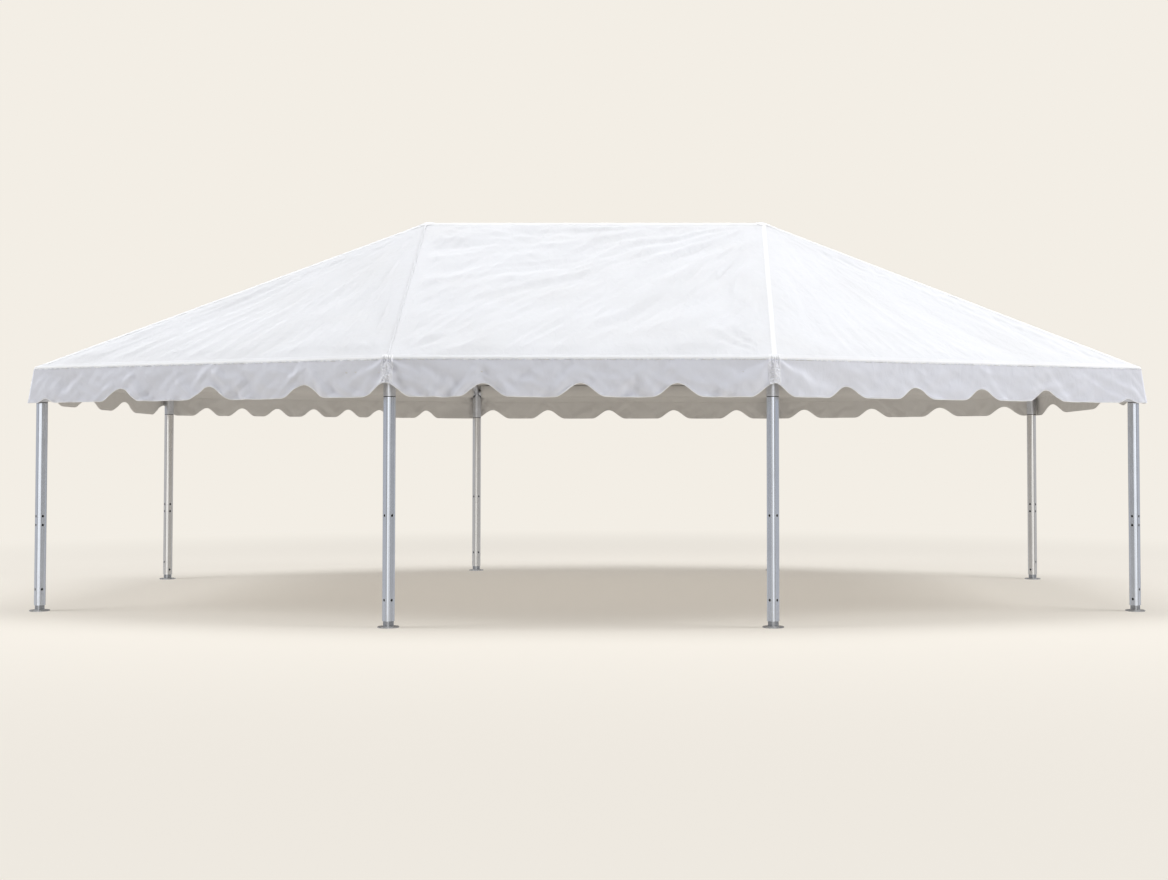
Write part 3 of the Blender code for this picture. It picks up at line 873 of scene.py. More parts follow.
def rail_pocket(side):
    """Pocket of cloth that wraps the eave rail, from the roof's inner face round to the valance's."""
    line = LINES[side]
    span = CORNERS[(side + 1) % 8] - CORNERS[side]
    length = np.linalg.norm(span)
    along = np.linspace(POCKET_START, length - POCKET_START, POCKET_COLUMNS)
    slope = line.up[2] / math.hypot(line.up[0], line.up[1])
    roof_edge = EAVE_HEIGHT + slope * (EAVE_OVERHANG + POCKET_EDGE) - 0.003
    to_leg = np.minimum(along, length - along)
    swell, from_leg, over = POCKET_SWELL
    radius = POCKET_RADIUS + swell * smooth_step((from_leg - to_leg) / over)
    turns = np.linspace(*(math.radians(angle) for angle in POCKET_WRAP), 10)
    offsets = np.array([np.full(len(along), -POCKET_EDGE), *(radius * math.cos(turn) for turn in turns)])
    height = rail_height()
    levels = np.array([np.full(len(along), roof_edge), *(height + radius * math.sin(turn) for turn in turns)])
    around = np.broadcast_to(along + RUN_STARTS[side], offsets.shape)
    depth = np.linspace(0, 0.16, len(offsets))[:, None]
    ripple = noise(around * 9, depth * 14, 95) + 0.6 * noise(around * 23, depth * 20, 96) + 0.6
    points = np.zeros((*offsets.shape, 3))
    points[..., :2] = CORNERS[side] + along[None, :, None] * (span / length)
    points[..., :2] += offsets[..., None] * outward(side)
    points[..., 2] = levels - POCKET_RIPPLE * ripple * bell(depth - 0.08, 0.05)
    lower, inset = (np.repeat([[row[part]] for row in POCKET_JOIN], len(along), axis=1) for part in (0, 1))
    beside = np.broadcast_to(along * line.length / length, lower.shape)
    points = np.concatenate([points, cloth_place(side, beside, lower, inset)])
    pocket = link("rail_pocket_" + SIDES[side], points.reshape(-1, 3), grid_faces(*points.shape[:2]))
    depth = np.linspace(0, 0.21, len(points))[:, None]
    lengthways, down = np.broadcast_arrays(along + RUN_STARTS[side], -depth)
    lay_flat_map(pocket, np.stack([lengthways, down], axis=2).reshape(-1, 2))
    return pocket, length - 2 * POCKET_START


def turn_out(item):
    """Turn a canopy sheet's faces away from the inside of the tent."""
    inside = Vector(INSIDE)
    faces = item.data.polygons
    if sum((face.center - inside).dot(face.normal) * face.area for face in faces) < 0:
        item.data.flip_normals()


def thicken(item, thickness):
    """Give a sheet its real thickness, inwards from its outer face."""
    shell = item.modifiers.new("thickness", "SOLIDIFY")
    shell.thickness = thickness
    shell.offset = -1.0
    shell.material_offset = 1


def feed(tree, item, inputs):
    """Set a node's inputs, or link them to what other nodes put out."""
    for key, value in inputs.items():
        if isinstance(value, bpy.types.NodeSocket):
            tree.links.new(value, item.inputs[key])
        else:
            item.inputs[key].default_value = value


def node(tree, kind, inputs=None, **settings):
    """Add a node with its settings and its inputs."""
    item = tree.nodes.new(kind)
    for key, value in settings.items():
        setattr(item, key, value)
    feed(tree, item, inputs or {})
    return item


def math_node(tree, operation, first, second=0.0):
    return node(tree, "ShaderNodeMath", {0: first, 1: second}, operation=operation).outputs[0]


def vector_node(tree, operation, first, second):
    return node(tree, "ShaderNodeVectorMath", {0: first, 1: second}, operation=operation).outputs


def scaled(tree, vector, scale):
    return node(tree, "ShaderNodeVectorMath", {0: vector, "Scale": scale}, operation="SCALE").outputs[0]


def level_of(tree, vector, axis=2):
    """One part of a vector, its height if no other is asked for."""
    return node(tree, "ShaderNodeSeparateXYZ", {0: vector}).outputs[axis]


def mix_colours(tree, factor, first, second):
    return node(tree, "ShaderNodeMix", {0: factor, 6: first, 7: second}, data_type="RGBA").outputs[2]


def ranged(tree, value, low, high, to_low=0.0, to_high=1.0, **settings):
    """Carry a value from one range to another."""
    places = {"Value": value, "From Min": low, "From Max": high, "To Min": to_low, "To Max": to_high}
    return node(tree, "ShaderNodeMapRange", places, **settings).outputs["Result"]


def clouds(tree, place, scale, detail, **more):
    """Cloudy pattern, 0 to 1."""
    values = {"Vector": place, "Scale": scale, "Detail": detail, **more}
    return node(tree, "ShaderNodeTexNoise", values).outputs["Fac"]


def bump(tree, height, strength, distance, **more):
    values = {"Height": height, "Strength": strength, "Distance": distance, **more}
    return node(tree, "ShaderNodeBump", values).outputs[0]


def opaque(colour, share=1.0):
    """Colour, darkened to a share, with its alpha."""
    return (*(c * share for c in colour), 1)


def shader_group(name, inputs, outputs):
    """Empty shader group with named inputs and outputs."""
    group = bpy.data.node_groups.new(name, "ShaderNodeTree")
    for label, value in inputs.items():
        kind = "NodeSocketVector" if value is None or isinstance(value, tuple) else "NodeSocketFloat"
        socket = group.interface.new_socket(label, in_out="INPUT", socket_type=kind)
        if value is not None:
            socket.default_value = value
    for label in outputs:
        group.interface.new_socket(label, in_out="OUTPUT", socket_type="NodeSocketFloat")
    entry, leave = group.nodes.new("NodeGroupInput"), group.nodes.new("NodeGroupOutput")
    return group, entry.outputs, leave


def make_scrim():
    """Woven threads that show through the coating."""
    group, given, leave = shader_group("woven_scrim", {"Place": None, "Threads": 700.0}, ["Height"])
    pace = math_node(group, "MULTIPLY", given["Threads"], 2 * math.pi)
    waves = [
        math_node(group, "SINE", math_node(group, "MULTIPLY", level_of(group, given["Place"], axis), pace))
        for axis in (0, 1)
    ]
    feed(group, leave, {"Height": math_node(group, "MAXIMUM", *waves)})
    return group


def make_crinkle():
    """Fine crinkles left from folding and packing the cloth."""
    group, given, leave = shader_group("packing_crinkles", {"Place": None, "Scale": 9.0}, ["Height", "Sheen"])
    turn = {"Vector": given["Place"], "Rotation": (0, 0, 0.7), "Scale": (1.0, 0.45, 1.0)}
    stretched = node(group, "ShaderNodeMapping", turn).outputs[0]
    patterns = []
    for place, share, detail in ((stretched, 1.0, 5.0), (given["Place"], 2.7, 4.0)):
        scale = math_node(group, "MULTIPLY", given["Scale"], share)
        patterns.append(clouds(group, place, scale, detail, Roughness=0.55, Distortion=0.4))
    ridge = math_node(group, "ABSOLUTE", math_node(group, "SUBTRACT", patterns[0], 0.5))
    ridge = math_node(group, "MULTIPLY", ranged(group, ridge, 0.0, 0.12, 1.0, 0.0), 0.6)
    height = math_node(group, "ADD", ridge, math_node(group, "MULTIPLY", patterns[1], 0.45))
    feed(group, leave, {"Height": height, "Sheen": patterns[1]})
    return group


def make_soil():
    """Faint uneven grime in broad patches with small specks."""
    inputs = {"Place": None, "Amount": 0.3, "Scale": 1.2}
    group, given, leave = shader_group("faint_grime", inputs, ["Mask"])
    broad = clouds(group, given["Place"], given["Scale"], 6.0)
    fine = clouds(group, given["Place"], math_node(group, "MULTIPLY", given["Scale"], 46.0), 3.0)
    patches = math_node(group, "MULTIPLY", ranged(group, broad, 0.42, 0.75), 0.7)
    specks = math_node(group, "MULTIPLY", ranged(group, fine, 0.62, 0.74), 0.5)
    both = math_node(group, "ADD", patches, specks)
    feed(group, leave, {"Mask": math_node(group, "MULTIPLY", both, given["Amount"])})
    return group


def make_drawn_lines():
    """Fine lines that run the length of a drawn or rolled bar."""
    inputs = {"Place": None, "Along": (0.0, 0.0, 1.0), "Fineness": 260.0}
    group, given, leave = shader_group("drawn_lines", inputs, ["Lines", "Scratches"])
    length = vector_node(group, "DOT_PRODUCT", given["Place"], given["Along"])["Value"]
    along = scaled(group, given["Along"], length)
    across = vector_node(group, "SUBTRACT", given["Place"], along)[0]
    patterns = {}
    for label, share, slow in (("Lines", 1.0, 0.006), ("Scratches", 0.35, 0.05)):
        fineness = math_node(group, "MULTIPLY", given["Fineness"], share)
        long_way = scaled(group, along, math_node(group, "MULTIPLY", fineness, slow))
        place = vector_node(group, "ADD", scaled(group, across, fineness), long_way)[0]
        patterns[label] = clouds(group, place, 1.0, 3.0)
    patterns["Scratches"] = ranged(group, patterns["Scratches"], 0.60, 0.70)
    feed(group, leave, patterns)
    return group


def make_edge_rub():
    """Mask of the edges that hands and ground rub bright."""
    group, given, leave = shader_group("rubbed_edges", {"Place": None, "Width": 0.004}, ["Mask"])
    soft = node(group, "ShaderNodeBevel", {"Radius": given["Width"]}, samples=4).outputs[0]
    plain = node(group, "ShaderNodeNewGeometry").outputs["Normal"]
    edge = ranged(group, vector_node(group, "DOT_PRODUCT", soft, plain)["Value"], 0.995, 0.90)
    worn = ranged(group, clouds(group, given["Place"], 60.0, 3.0), 0.35, 0.6)
    feed(group, leave, {"Mask": math_node(group, "MULTIPLY", edge, worn)})
    return group


def make_settled_dust():
    """Dust that lies on what faces up, thicker near the ground."""
    inputs = {"Place": None, "Amount": 0.4, "Reach": 0.35}
    group, given, leave = shader_group("settled_dust", inputs, ["Mask"])
    normal = node(group, "ShaderNodeNewGeometry").outputs["Normal"]
    upward = ranged(group, level_of(group, normal), 0.3, 0.95)
    share = math_node(group, "DIVIDE", level_of(group, given["Place"]), given["Reach"])
    low = ranged(group, math_node(group, "SUBTRACT", 1.0, share), 0.0, 1.0, 0.0, 0.6)
    spread = ranged(group, clouds(group, given["Place"], 24.0, 5.0), 0.35, 0.65)
    total = math_node(group, "MULTIPLY", math_node(group, "ADD", upward, low), spread)
    feed(group, leave, {"Mask": math_node(group, "MULTIPLY", total, given["Amount"])})
    return group


GROUPS = {}


def effect(tree, name, **values):
    """Put a shared effect in a material with its own values."""
    return node(tree, "ShaderNodeGroup", values, node_tree=GROUPS[name]).outputs


def new_material(name):
    """New material, with its tree, its shader and the place on the object that patterns follow."""
    material = bpy.data.materials.new(name)
    material.use_nodes = True
    tree = material.node_tree
    place = node(tree, "ShaderNodeTexCoord").outputs["Object"]
    return material, tree, tree.nodes["Principled BSDF"], place


GRIME = (0.50, 0.48, 0.43, 1)
DUST = (0.46, 0.43, 0.38, 1)
# Dull taupe for the back legs' tops above the hem: painted shade and a painted reflection of the inner cloth
PAINTED_SHADE_METAL = (0.66, 0.63, 0.59, 1)
RUBBER = (0.012, 0.012, 0.013, 1)
DUSTY_RUBBER = (0.09, 0.085, 0.075, 1)
CLOTH_ROUGHNESS = 0.52
# Heights over the eave, on the flat cloth, where a valance turns from its cooler wall white, painted light on
# the hanging cloth, to roof white
FOLD_BLEND = (-0.004, 0.010)
# Painted highlight along the eave fold, on the doubled cloth: where it begins below, and where it ends above
HIGHLIGHT_BELOW = (-0.016, -0.010)
HIGHLIGHT_ABOVE = (0.010, 0.024)
HIGHLIGHT_RAGGED = 0.008
# Width of the whiter edge of the hem
HEM_EDGE = (0.004, 0.008)


def eave_and_hem(tree, flat, white, roof_colour):
    """Whites of a valance: like the roof above the fold, a painted highlight along the fold, and whiter on
    the hem's edge.
    """
    height = level_of(tree, flat, 1)
    ragged = ranged(tree, clouds(tree, flat, 45.0, 3.0), 0.3, 0.7, -HIGHLIGHT_RAGGED, HIGHLIGHT_RAGGED)
    shifted = math_node(tree, "ADD", height, ragged)
    white = mix_colours(tree, ranged(tree, height, *FOLD_BLEND), white, opaque(roof_colour))
    # Painted highlight along the eave fold, with a ragged lower edge
    under, over = ranged(tree, shifted, *HIGHLIGHT_BELOW), ranged(tree, height, *HIGHLIGHT_ABOVE, 1.0, 0.0)
    white = mix_colours(tree, math_node(tree, "MULTIPLY", under, over), white, opaque(DOUBLED_WHITE_PAINTED_HIGHLIGHT))
    from_edge = node(tree, "ShaderNodeAttribute", attribute_name="hem").outputs["Fac"]
    return mix_colours(tree, ranged(tree, from_edge, *HEM_EDGE, 0.8, 0.0), white, opaque(HEM_WHITE))


def coated_cloth(name, colour, shade=0.95, grime=0.16, crinkles=0.16, roof_colour=None):
    """Coated cloth: threads under the coating, packing crinkles, faint grime and uneven whiteness.

    With a roof colour it is a valance.
    """
    material, tree, shader, place = new_material(name)
    flat = node(tree, "ShaderNodeUVMap", uv_map="flat").outputs[0]
    scrim = effect(tree, "woven_scrim", Place=flat, Threads=620.0)
    crinkle = effect(tree, "packing_crinkles", Place=flat, Scale=8.0)
    soil = effect(tree, "faint_grime", Place=place, Amount=grime, Scale=1.4)
    white = mix_colours(tree, clouds(tree, place, 0.9, 4.0), opaque(colour), opaque(colour, shade))
    if roof_colour is not None:
        white = eave_and_hem(tree, flat, white, roof_colour)
    rough = (CLOTH_ROUGHNESS - 0.08, CLOTH_ROUGHNESS + 0.08)
    threads = bump(tree, scrim["Height"], 0.12, 0.0004)
    finish = {
        "Base Color": mix_colours(tree, soil["Mask"], white, GRIME),
        "Roughness": ranged(tree, crinkle["Sheen"], 0.3, 0.7, *rough),
        "Normal": bump(tree, crinkle["Height"], crinkles, 0.012, Normal=threads),
    }
    feed(tree, shader, finish)
    return material


def add_wear(tree, place, tone, soiled, grime, rubbed, dust):
    """Put grime, rubbed edges and dust on a metal's tone. Gives the tone and the mask of the dust."""
    amount, scale = grime
    width, bright = rubbed
    thickness, reach = dust
    soil = effect(tree, "faint_grime", Place=place, Amount=amount, Scale=scale)
    rub = effect(tree, "rubbed_edges", Place=place, Width=width)
    dusty = effect(tree, "settled_dust", Place=place, Amount=thickness, Reach=reach)
    tone = mix_colours(tree, soil["Mask"], tone, soiled)
    tone = mix_colours(tree, rub["Mask"], tone, bright)
    return mix_colours(tree, dusty["Mask"], tone, DUST), dusty["Mask"]


def drawn_metal(name, colour, along, roughness, painted_shade_above=None):
    """Aluminium drawn into tube: lines along it, rubbed edges, scratches and dust, with painted shade above a
    height.
    """
    material, tree, shader, place = new_material(name)
    lines = effect(tree, "drawn_lines", Place=place, Along=along, Fineness=260.0)
    tone = mix_colours(tree, lines["Lines"], opaque(colour, 0.86), opaque(colour))
    rubbed = (0.003, (0.90, 0.91, 0.92, 1))
    tone, dust = add_wear(tree, place, tone, opaque(colour, 0.62), (0.22, 6.0), rubbed, (0.25, 0.3))
    metal = ranged(tree, dust, 0.0, 0.6, 1.0, 0.25)
    if painted_shade_above is not None:
        # Above the height the tone turns dull taupe and less metallic: painted shade
        painted_shade = ranged(tree, level_of(tree, place), painted_shade_above, painted_shade_above + 0.008)
        tone = mix_colours(tree, painted_shade, tone, PAINTED_SHADE_METAL)
        metal = math_node(tree, "MULTIPLY", metal, ranged(tree, painted_shade, 0.0, 1.0, 1.0, 0.35))
    rough = ranged(tree, lines["Lines"], 0.3, 0.7, roughness - 0.06, roughness + 0.07)
    rough = math_node(tree, "ADD", rough, math_node(tree, "MULTIPLY", lines["Scratches"], 0.12))
    normal = bump(tree, lines["Lines"], 0.25, 0.0006)
    feed(tree, shader, {"Base Color": tone, "Metallic": metal, "Roughness": rough, "Normal": normal})
    return material


def cast_metal(name, colour, roughness, grain=420.0, dust=0.3):
    """Cast or plated metal: fine grain, blotches, rubbed edges and dust."""
    material, tree, shader, place = new_material(name)
    grainy = clouds(tree, place, grain, 3.0)
    blotch = node(tree, "ShaderNodeTexVoronoi", {"Vector": place, "Scale": grain * 0.16})
    spangle = ranged(tree, blotch.outputs["Color"], 0.0, 1.0)
    tone = mix_colours(tree, spangle, opaque(colour, 0.84), opaque(colour))
    rubbed = (0.004, (0.88, 0.88, 0.89, 1))
    tone, dust = add_wear(tree, place, tone, opaque(colour, 0.5), (0.4, 9.0), rubbed, (dust, 0.12))
    finish = {
        "Base Color": tone,
        "Metallic": ranged(tree, dust, 0.0, 0.6, 1.0, 0.2),
        "Roughness": ranged(tree, grainy, 0.3, 0.7, roughness - 0.08, roughness + 0.1),
        "Normal": bump(tree, grainy, 0.3, 0.0008),
    }
    feed(tree, shader, finish)
    return material


def black_rubber():
    """Dull dark rubber with a little dust."""
    material, tree, shader, place = new_material("black_rubber")
    soil = effect(tree, "faint_grime", Place=place, Amount=0.3, Scale=12.0)
    tone = mix_colours(tree, soil["Mask"], RUBBER, DUSTY_RUBBER)
    feed(tree, shader, {"Base Color": tone, "Roughness": 0.8, "Specular IOR Level": 0.2})
    return material


def sewing_thread(name, colour):
    """Twisted white thread."""
    material, tree, shader, place = new_material(name)
    soil = effect(tree, "faint_grime", Place=place, Amount=0.3, Scale=3.0)
    twist = clouds(tree, place, 900.0, 2.0)
    finish = {
        "Base Color": mix_colours(tree, soil["Mask"], opaque(colour), GRIME),
        "Roughness": ranged(tree, twist, 0.3, 0.7, 0.55, 0.75),
        "Normal": bump(tree, twist, 0.3, 0.0004),
    }
    feed(tree, shader, finish)
    return material


def shape_tree(name, sizes, build):
    """Node tree that makes what repeats: named sizes in, real mesh with its finish out."""
    tree = bpy.data.node_groups.new(name, "GeometryNodeTree")
    tree.interface.new_socket("Carrier", in_out="INPUT", socket_type="NodeSocketGeometry")
    for label, value in sizes.items():
        socket = tree.interface.new_socket(label, in_out="INPUT", socket_type="NodeSocketFloat")
        socket.default_value = value
    tree.interface.new_socket("Finish", in_out="INPUT", socket_type="NodeSocketMaterial")
    tree.interface.new_socket("Shape", in_out="OUTPUT", socket_type="NodeSocketGeometry")
    entry, leave = tree.nodes.new("NodeGroupInput"), tree.nodes.new("NodeGroupOutput")
    shape = build(tree, entry.outputs)
    real = node(tree, "GeometryNodeRealizeInstances", {"Geometry": shape})
    inputs = {"Geometry": real.outputs[0], "Material": entry.outputs["Finish"]}
    finished = node(tree, "GeometryNodeSetMaterial", inputs)
    feed(tree, leave, {"Shape": finished.outputs[0]})
    return tree


def instances(tree, points, instance, direction, **more):
    """Instances on points, each turned so that its own Z follows a direction."""
    turned = node(tree, "FunctionNodeAlignEulerToVector", {"Vector": direction}, axis="Z")
    inputs = {"Points": points, "Instance": instance, "Rotation": turned.outputs[0], **more}
    return node(tree, "GeometryNodeInstanceOnPoints", inputs).outputs[0]


def stitch_shape(tree, inputs):
    """Short slim stitches, end to end along the carrier's lines."""
    curve = node(tree, "GeometryNodeMeshToCurve", {"Mesh": inputs["Carrier"]}).outputs[0]
    spacing = {"Curve": curve, "Length": inputs["Pitch"]}
    points = node(tree, "GeometryNodeCurveToPoints", spacing, mode="LENGTH").outputs
    stitch = node(tree, "GeometryNodeMeshUVSphere", {"Segments": 4, "Rings": 2, "Radius": 1.0})
    half = math_node(tree, "MULTIPLY", inputs["Stitch"], 0.5)
    sizes = {0: inputs["Thickness"], 1: inputs["Thickness"], 2: half}
    size = node(tree, "ShaderNodeCombineXYZ", sizes).outputs[0]
    tilts = {0: (-0.12, -0.12, 0.0), 1: (0.12, 0.12, 0.6), "Seed": 4}
    tilt = node(tree, "FunctionNodeRandomValue", tilts, data_type="FLOAT_VECTOR").outputs[0]
    placed = instances(tree, points[0], stitch.outputs[0], points["Tangent"], Scale=size)
    return node(tree, "GeometryNodeRotateInstances", {"Instances": placed, "Rotation": tilt}).outputs[0]


def facing_points(tree, carrier, instance):
    """Instances on the carrier's points, each standing along its own facing."""
    facing = node(tree, "GeometryNodeInputNamedAttribute", {"Name": "facing"}, data_type="FLOAT_VECTOR")
    points = node(tree, "GeometryNodeMeshToPoints", {"Mesh": carrier}).outputs[0]
    return instances(tree, points, instance, facing.outputs["Attribute"])


def raised_disc(tree, corners, radius, depth, rise):
    """Disc or prism, raised along its own axis."""
    sizes = {"Vertices": corners, "Side Segments": 1, "Radius": radius, "Depth": depth}
    disc = node(tree, "GeometryNodeMeshCylinder", sizes).outputs["Mesh"]
    shift = node(tree, "ShaderNodeCombineXYZ", {2: rise}).outputs[0]
    return node(tree, "GeometryNodeTransform", {"Geometry": disc, "Translation": shift}).outputs[0]


def join(tree, parts):
    joined = node(tree, "GeometryNodeJoinGeometry")
    for part in parts:
        tree.links.new(part, joined.inputs[0])
    return joined.outputs[0]


def ring_section(tree, corners, radius):
    """Round outline, to sweep or to sweep along."""
    sizes = {"Resolution": corners, "Radius": radius}
    return node(tree, "GeometryNodeCurvePrimitiveCircle", sizes).outputs[0]


# Parts of a bolt: corners, then radius, depth and rise of the middle, as shares of its size
BOLT_PARTS = ((18, (1.9, 0.22, 0.11)), (6, (1.15, 0.85, 0.62)), (10, (0.62, 0.5, 1.25)))


def bolt_shape(tree, inputs):
    """Hexagon head on a washer, with the thread's end standing proud."""
    parts = [
        raised_disc(tree, corners, *(math_node(tree, "MULTIPLY", inputs["Size"], share) for share in shares))
        for corners, shares in BOLT_PARTS
    ]
    return facing_points(tree, inputs["Carrier"], join(tree, reversed(parts)))


def rim_shape(tree, inputs):
    """Rolled rim round a pin hole."""
    path = {
        "Curve": ring_section(tree, 20, inputs["Radius"]),
        "Profile Curve": ring_section(tree, 6, inputs["Thickness"]),
    }
    ring = node(tree, "GeometryNodeCurveToMesh", path).outputs[0]
    return facing_points(tree, inputs["Carrier"], ring)


def shade_plug_shape(tree, inputs):
    """Dark closed plug in a pin hole, with a flange on the leg's face: a dark thing that stands for the shade
    inside the hole.
    """
    parts = [
        raised_disc(tree, 16, inputs[wide], inputs[deep], math_node(tree, "MULTIPLY", inputs[deep], share))
        for wide, deep, share in (("Radius", "Depth", -0.5), ("Flange", "Lip", 0.6))
    ]
    return facing_points(tree, inputs["Carrier"], join(tree, parts))


def bead_shape(tree, inputs):
    """Welded bead along the carrier's lines, rippled as it was laid."""
    curve = node(tree, "GeometryNodeMeshToCurve", {"Mesh": inputs["Carrier"]}).outputs[0]
    spacing = {"Curve": curve, "Length": inputs["Step"]}
    even = node(tree, "GeometryNodeResampleCurve", spacing, mode="LENGTH").outputs[0]
    swell = node(tree, "FunctionNodeRandomValue", {2: 0.7, 3: 1.15, "Seed": 9}, data_type="FLOAT")
    swelling = {"Curve": even, "Radius": swell.outputs[1]}
    sized = node(tree, "GeometryNodeSetCurveRadius", swelling).outputs[0]
    path = {"Curve": sized, "Profile Curve": ring_section(tree, 8, inputs["Thickness"])}
    return node(tree, "GeometryNodeCurveToMesh", path).outputs[0]


def grow(name, carrier, tree, finish, smooth=True):
    """Turn what a tree grows on a carrier into a plain mesh piece."""
    modifier = carrier.modifiers.new("shape", "NODES")
    modifier.node_group = tree
    for item in tree.interface.items_tree:
        if item.in_out == "INPUT" and item.name == "Finish":
            modifier[item.identifier] = finish
    graph = bpy.context.evaluated_depsgraph_get()
    mesh = bpy.data.meshes.new_from_object(carrier.evaluated_get(graph))
    bpy.data.objects.remove(carrier)
    mesh.name = name
    mesh.polygons.foreach_set("use_smooth", [smooth] * len(mesh.polygons))
    piece = bpy.data.objects.new(name, mesh)
    bpy.context.scene.collection.objects.link(piece)
    return piece


def line_carrier(name, lines):
    """Mesh of open lines for a tree to follow."""
    points, edges = [], []
    for line in lines:
        start = len(points)
        points.extend(line)
        edges.extend((start + step, start + step + 1) for step in range(len(line) - 1))
    return link(name, points, [], edges, smooth=False)


def point_carrier(name, places):
    """Mesh of loose points, each with the direction it faces."""
    item = link(name, [place for place, facing in places], [], smooth=False)
    facings = item.data.attributes.new("facing", "FLOAT_VECTOR", "POINT")
    facings.data.foreach_set("vector", np.array([facing for place, facing in places], np.float32).ravel())
    return item


def pin_places():
    """Middles and facings of the pin holes in the legs' flat sides."""
    places = []
    for corner, name in enumerate(CORNER_NAMES):
        middle = name.endswith("mid")
        rows = MID_PIN_ROWS if middle else END_PIN_ROWS
        for pair, low in enumerate(LOW_PINS["mid" if middle else name]):
            turn = math.pi / 4 + pair * math.pi / 2
            for sign in (-1, 1):
                facing = np.array((math.cos(turn) * sign, math.sin(turn) * sign, 0.0))
                for height in (*rows, low):
                    centre = np.array((*CORNERS[corner], height))
                    places.append((centre + facing * LEG_SIDE / 2, facing))
    return places


def turned_square(side, round_off, steps):
    """Outline of a rounded square that stands with a corner to each side, as the legs do."""
    middle = side / 2 - round_off
    points = []
    for quarter in range(4):
        for step in range(steps + 1):
            angle = math.pi / 2 * (quarter + step / steps)
            x = middle * (1 if quarter in (0, 3) else -1) + round_off * math.cos(angle)
            y = middle * (1 if quarter in (0, 1) else -1) + round_off * math.sin(angle)
            points.append((x, y))
    cos, sin = math.cos(math.pi / 4), math.sin(math.pi / 4)
    return np.array(points) @ np.array(((cos, sin), (-sin, cos)))


def joint_seals():
    """Thin dark seals in the gaps between the legs' tops and the joints above them."""
    faces, vertices = [], []
    ring = turned_square(SEAL_SIDE, SEAL_CORNER, 4)
    count = len(ring)
    for corner in CORNERS:
        start = len(vertices)
        for inset, height in ((0.0, 0.0), (0.0, SEAL_HEIGHT), (SEAL_WALL, SEAL_HEIGHT), (SEAL_WALL, 0.0)):
            outline = corner + ring * (1 - 2 * inset / SEAL_SIDE)
            vertices.extend((x, y, LEG_TOP + height) for x, y in outline)
        for row in range(4):
            below, above = start + row * count, start + (row + 1) % 4 * count
            for step in range(count):
                following = (step + 1) % count
                faces.append((below + step, below + following, above + following, above + step))
    return link("joint_seals", vertices, faces, smooth=False)


def rail_height():
    """Height of the rails' centre line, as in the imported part."""
    runs = [
        abs((CORNERS[side] - ridge_end(side)[:2]) @ outward(side)) + EAVE_OVERHANG for side in range(8)
    ]
    slope = math.atan((PEAK_HEIGHT - EAVE_HEIGHT) / max(runs))
    return EAVE_HEIGHT + EAVE_OVERHANG * math.tan(slope) - (SLEEVE_RADIUS + SLEEVE_GAP) / math.cos(slope)


def sleeve_bolts():
    """Places and facings of the set bolts under each socket."""
    height = rail_height()
    joints = [np.array((*corner, height)) for corner in CORNERS]
    crowns = {sign: np.array((sign * HALF_RIDGE, 0.0, PEAK_HEIGHT - CROWN_DROP)) for sign in (-1, 1)}
    sockets = []
    for index, joint in enumerate(joints):
        crown = crowns[math.copysign(1, joint[0])]
        sockets += [(joint, joints[index - 1]), (joint, joints[(index + 1) % 8])]
        sockets += [(joint, crown), (crown, joint)]
    sockets += [(crowns[-1], crowns[1]), (crowns[1], crowns[-1])]
    places = []
    for start, end in sockets:
        way = unit(end - start)
        below = unit(np.array((0.0, 0.0, -1.0)) + way * way[2])
        places.append((start + way * SLEEVE_REACH * BOLT_SHARE + below * SLEEVE_RADIUS, below))
    return places


def foot_beads():
    """Lines of the weld round each foot tube, where it meets its plate."""
    outline = turned_square(FOOT_TUBE_SIDE, FOOT_TUBE_CORNER, 6)
    outline = np.concatenate([outline, outline[:1]])
    heights = np.full(len(outline), PLATE_THICKNESS + WELD_HEIGHT)
    return [np.column_stack([outline + corner, heights]) for corner in CORNERS]


# The camera as it was fitted to the photo: focal length, width and off-centre shift in its pixels
FOCAL_PX = 1499.0
WIDTH_PX = 1168.0
SHIFT_PX = (-62.8, -26.2)
SENSOR_MM = 36.0
CAMERA_PLACE = (0.5285, -14.963, 1.3328)
CAMERA_TILT = 0.0302
CAMERA_TURN = 0.0005


def make_camera():
    data = bpy.data.cameras.new("camera")
    data.sensor_fit = "HORIZONTAL"
    data.sensor_width = SENSOR_MM
    data.lens = SENSOR_MM * FOCAL_PX / WIDTH_PX
    data.shift_x, data.shift_y = (shift / WIDTH_PX for shift in SHIFT_PX)
    data.clip_end = 1000
    camera = bpy.data.objects.new("camera", data)
    bpy.context.scene.collection.objects.link(camera)
    camera.location = CAMERA_PLACE
    camera.rotation_euler = (math.pi / 2 + CAMERA_TILT, 0, CAMERA_TURN)
    bpy.context.scene.camera = camera


# Soft lights: place, what each aims at, size, power, and whether it falls on the floor alone or on
# everything but the floor
LIGHTS = {
    "floor_light": ((0, 0, 17), (0, 0, 0), (12, 8), 1140, True),
    "left_floor_light": ((-14, -4, 13), (-4, 0, 0), (7, 7), 990, True),
    "right_floor_light": ((14, -4, 13), (4, 0, 0), (7, 7), 1060, True),
    "overhead_key": ((0, -4, 20), (0, 0, 2.8), (8, 5), 930, False),
    "right_roof_key": ((23, 7, 17), (0, -1, 2.6), (5, 4), 5800, False),
    "left_roof_key": ((-21, 9, 19), (0, -1, 2.6), (5, 4), 4100, False),
    "right_key": ((22, -10, 6.8), (0, -2, 2.2), (4, 4), 420, False),
    "left_key": ((-24, -3, 8), (-3, -2, 2.2), (4, 4), 2700, False),
    "front_key": ((12, -17, 9), (0, -2, 2.4), (5, 3), 1290, False),
}


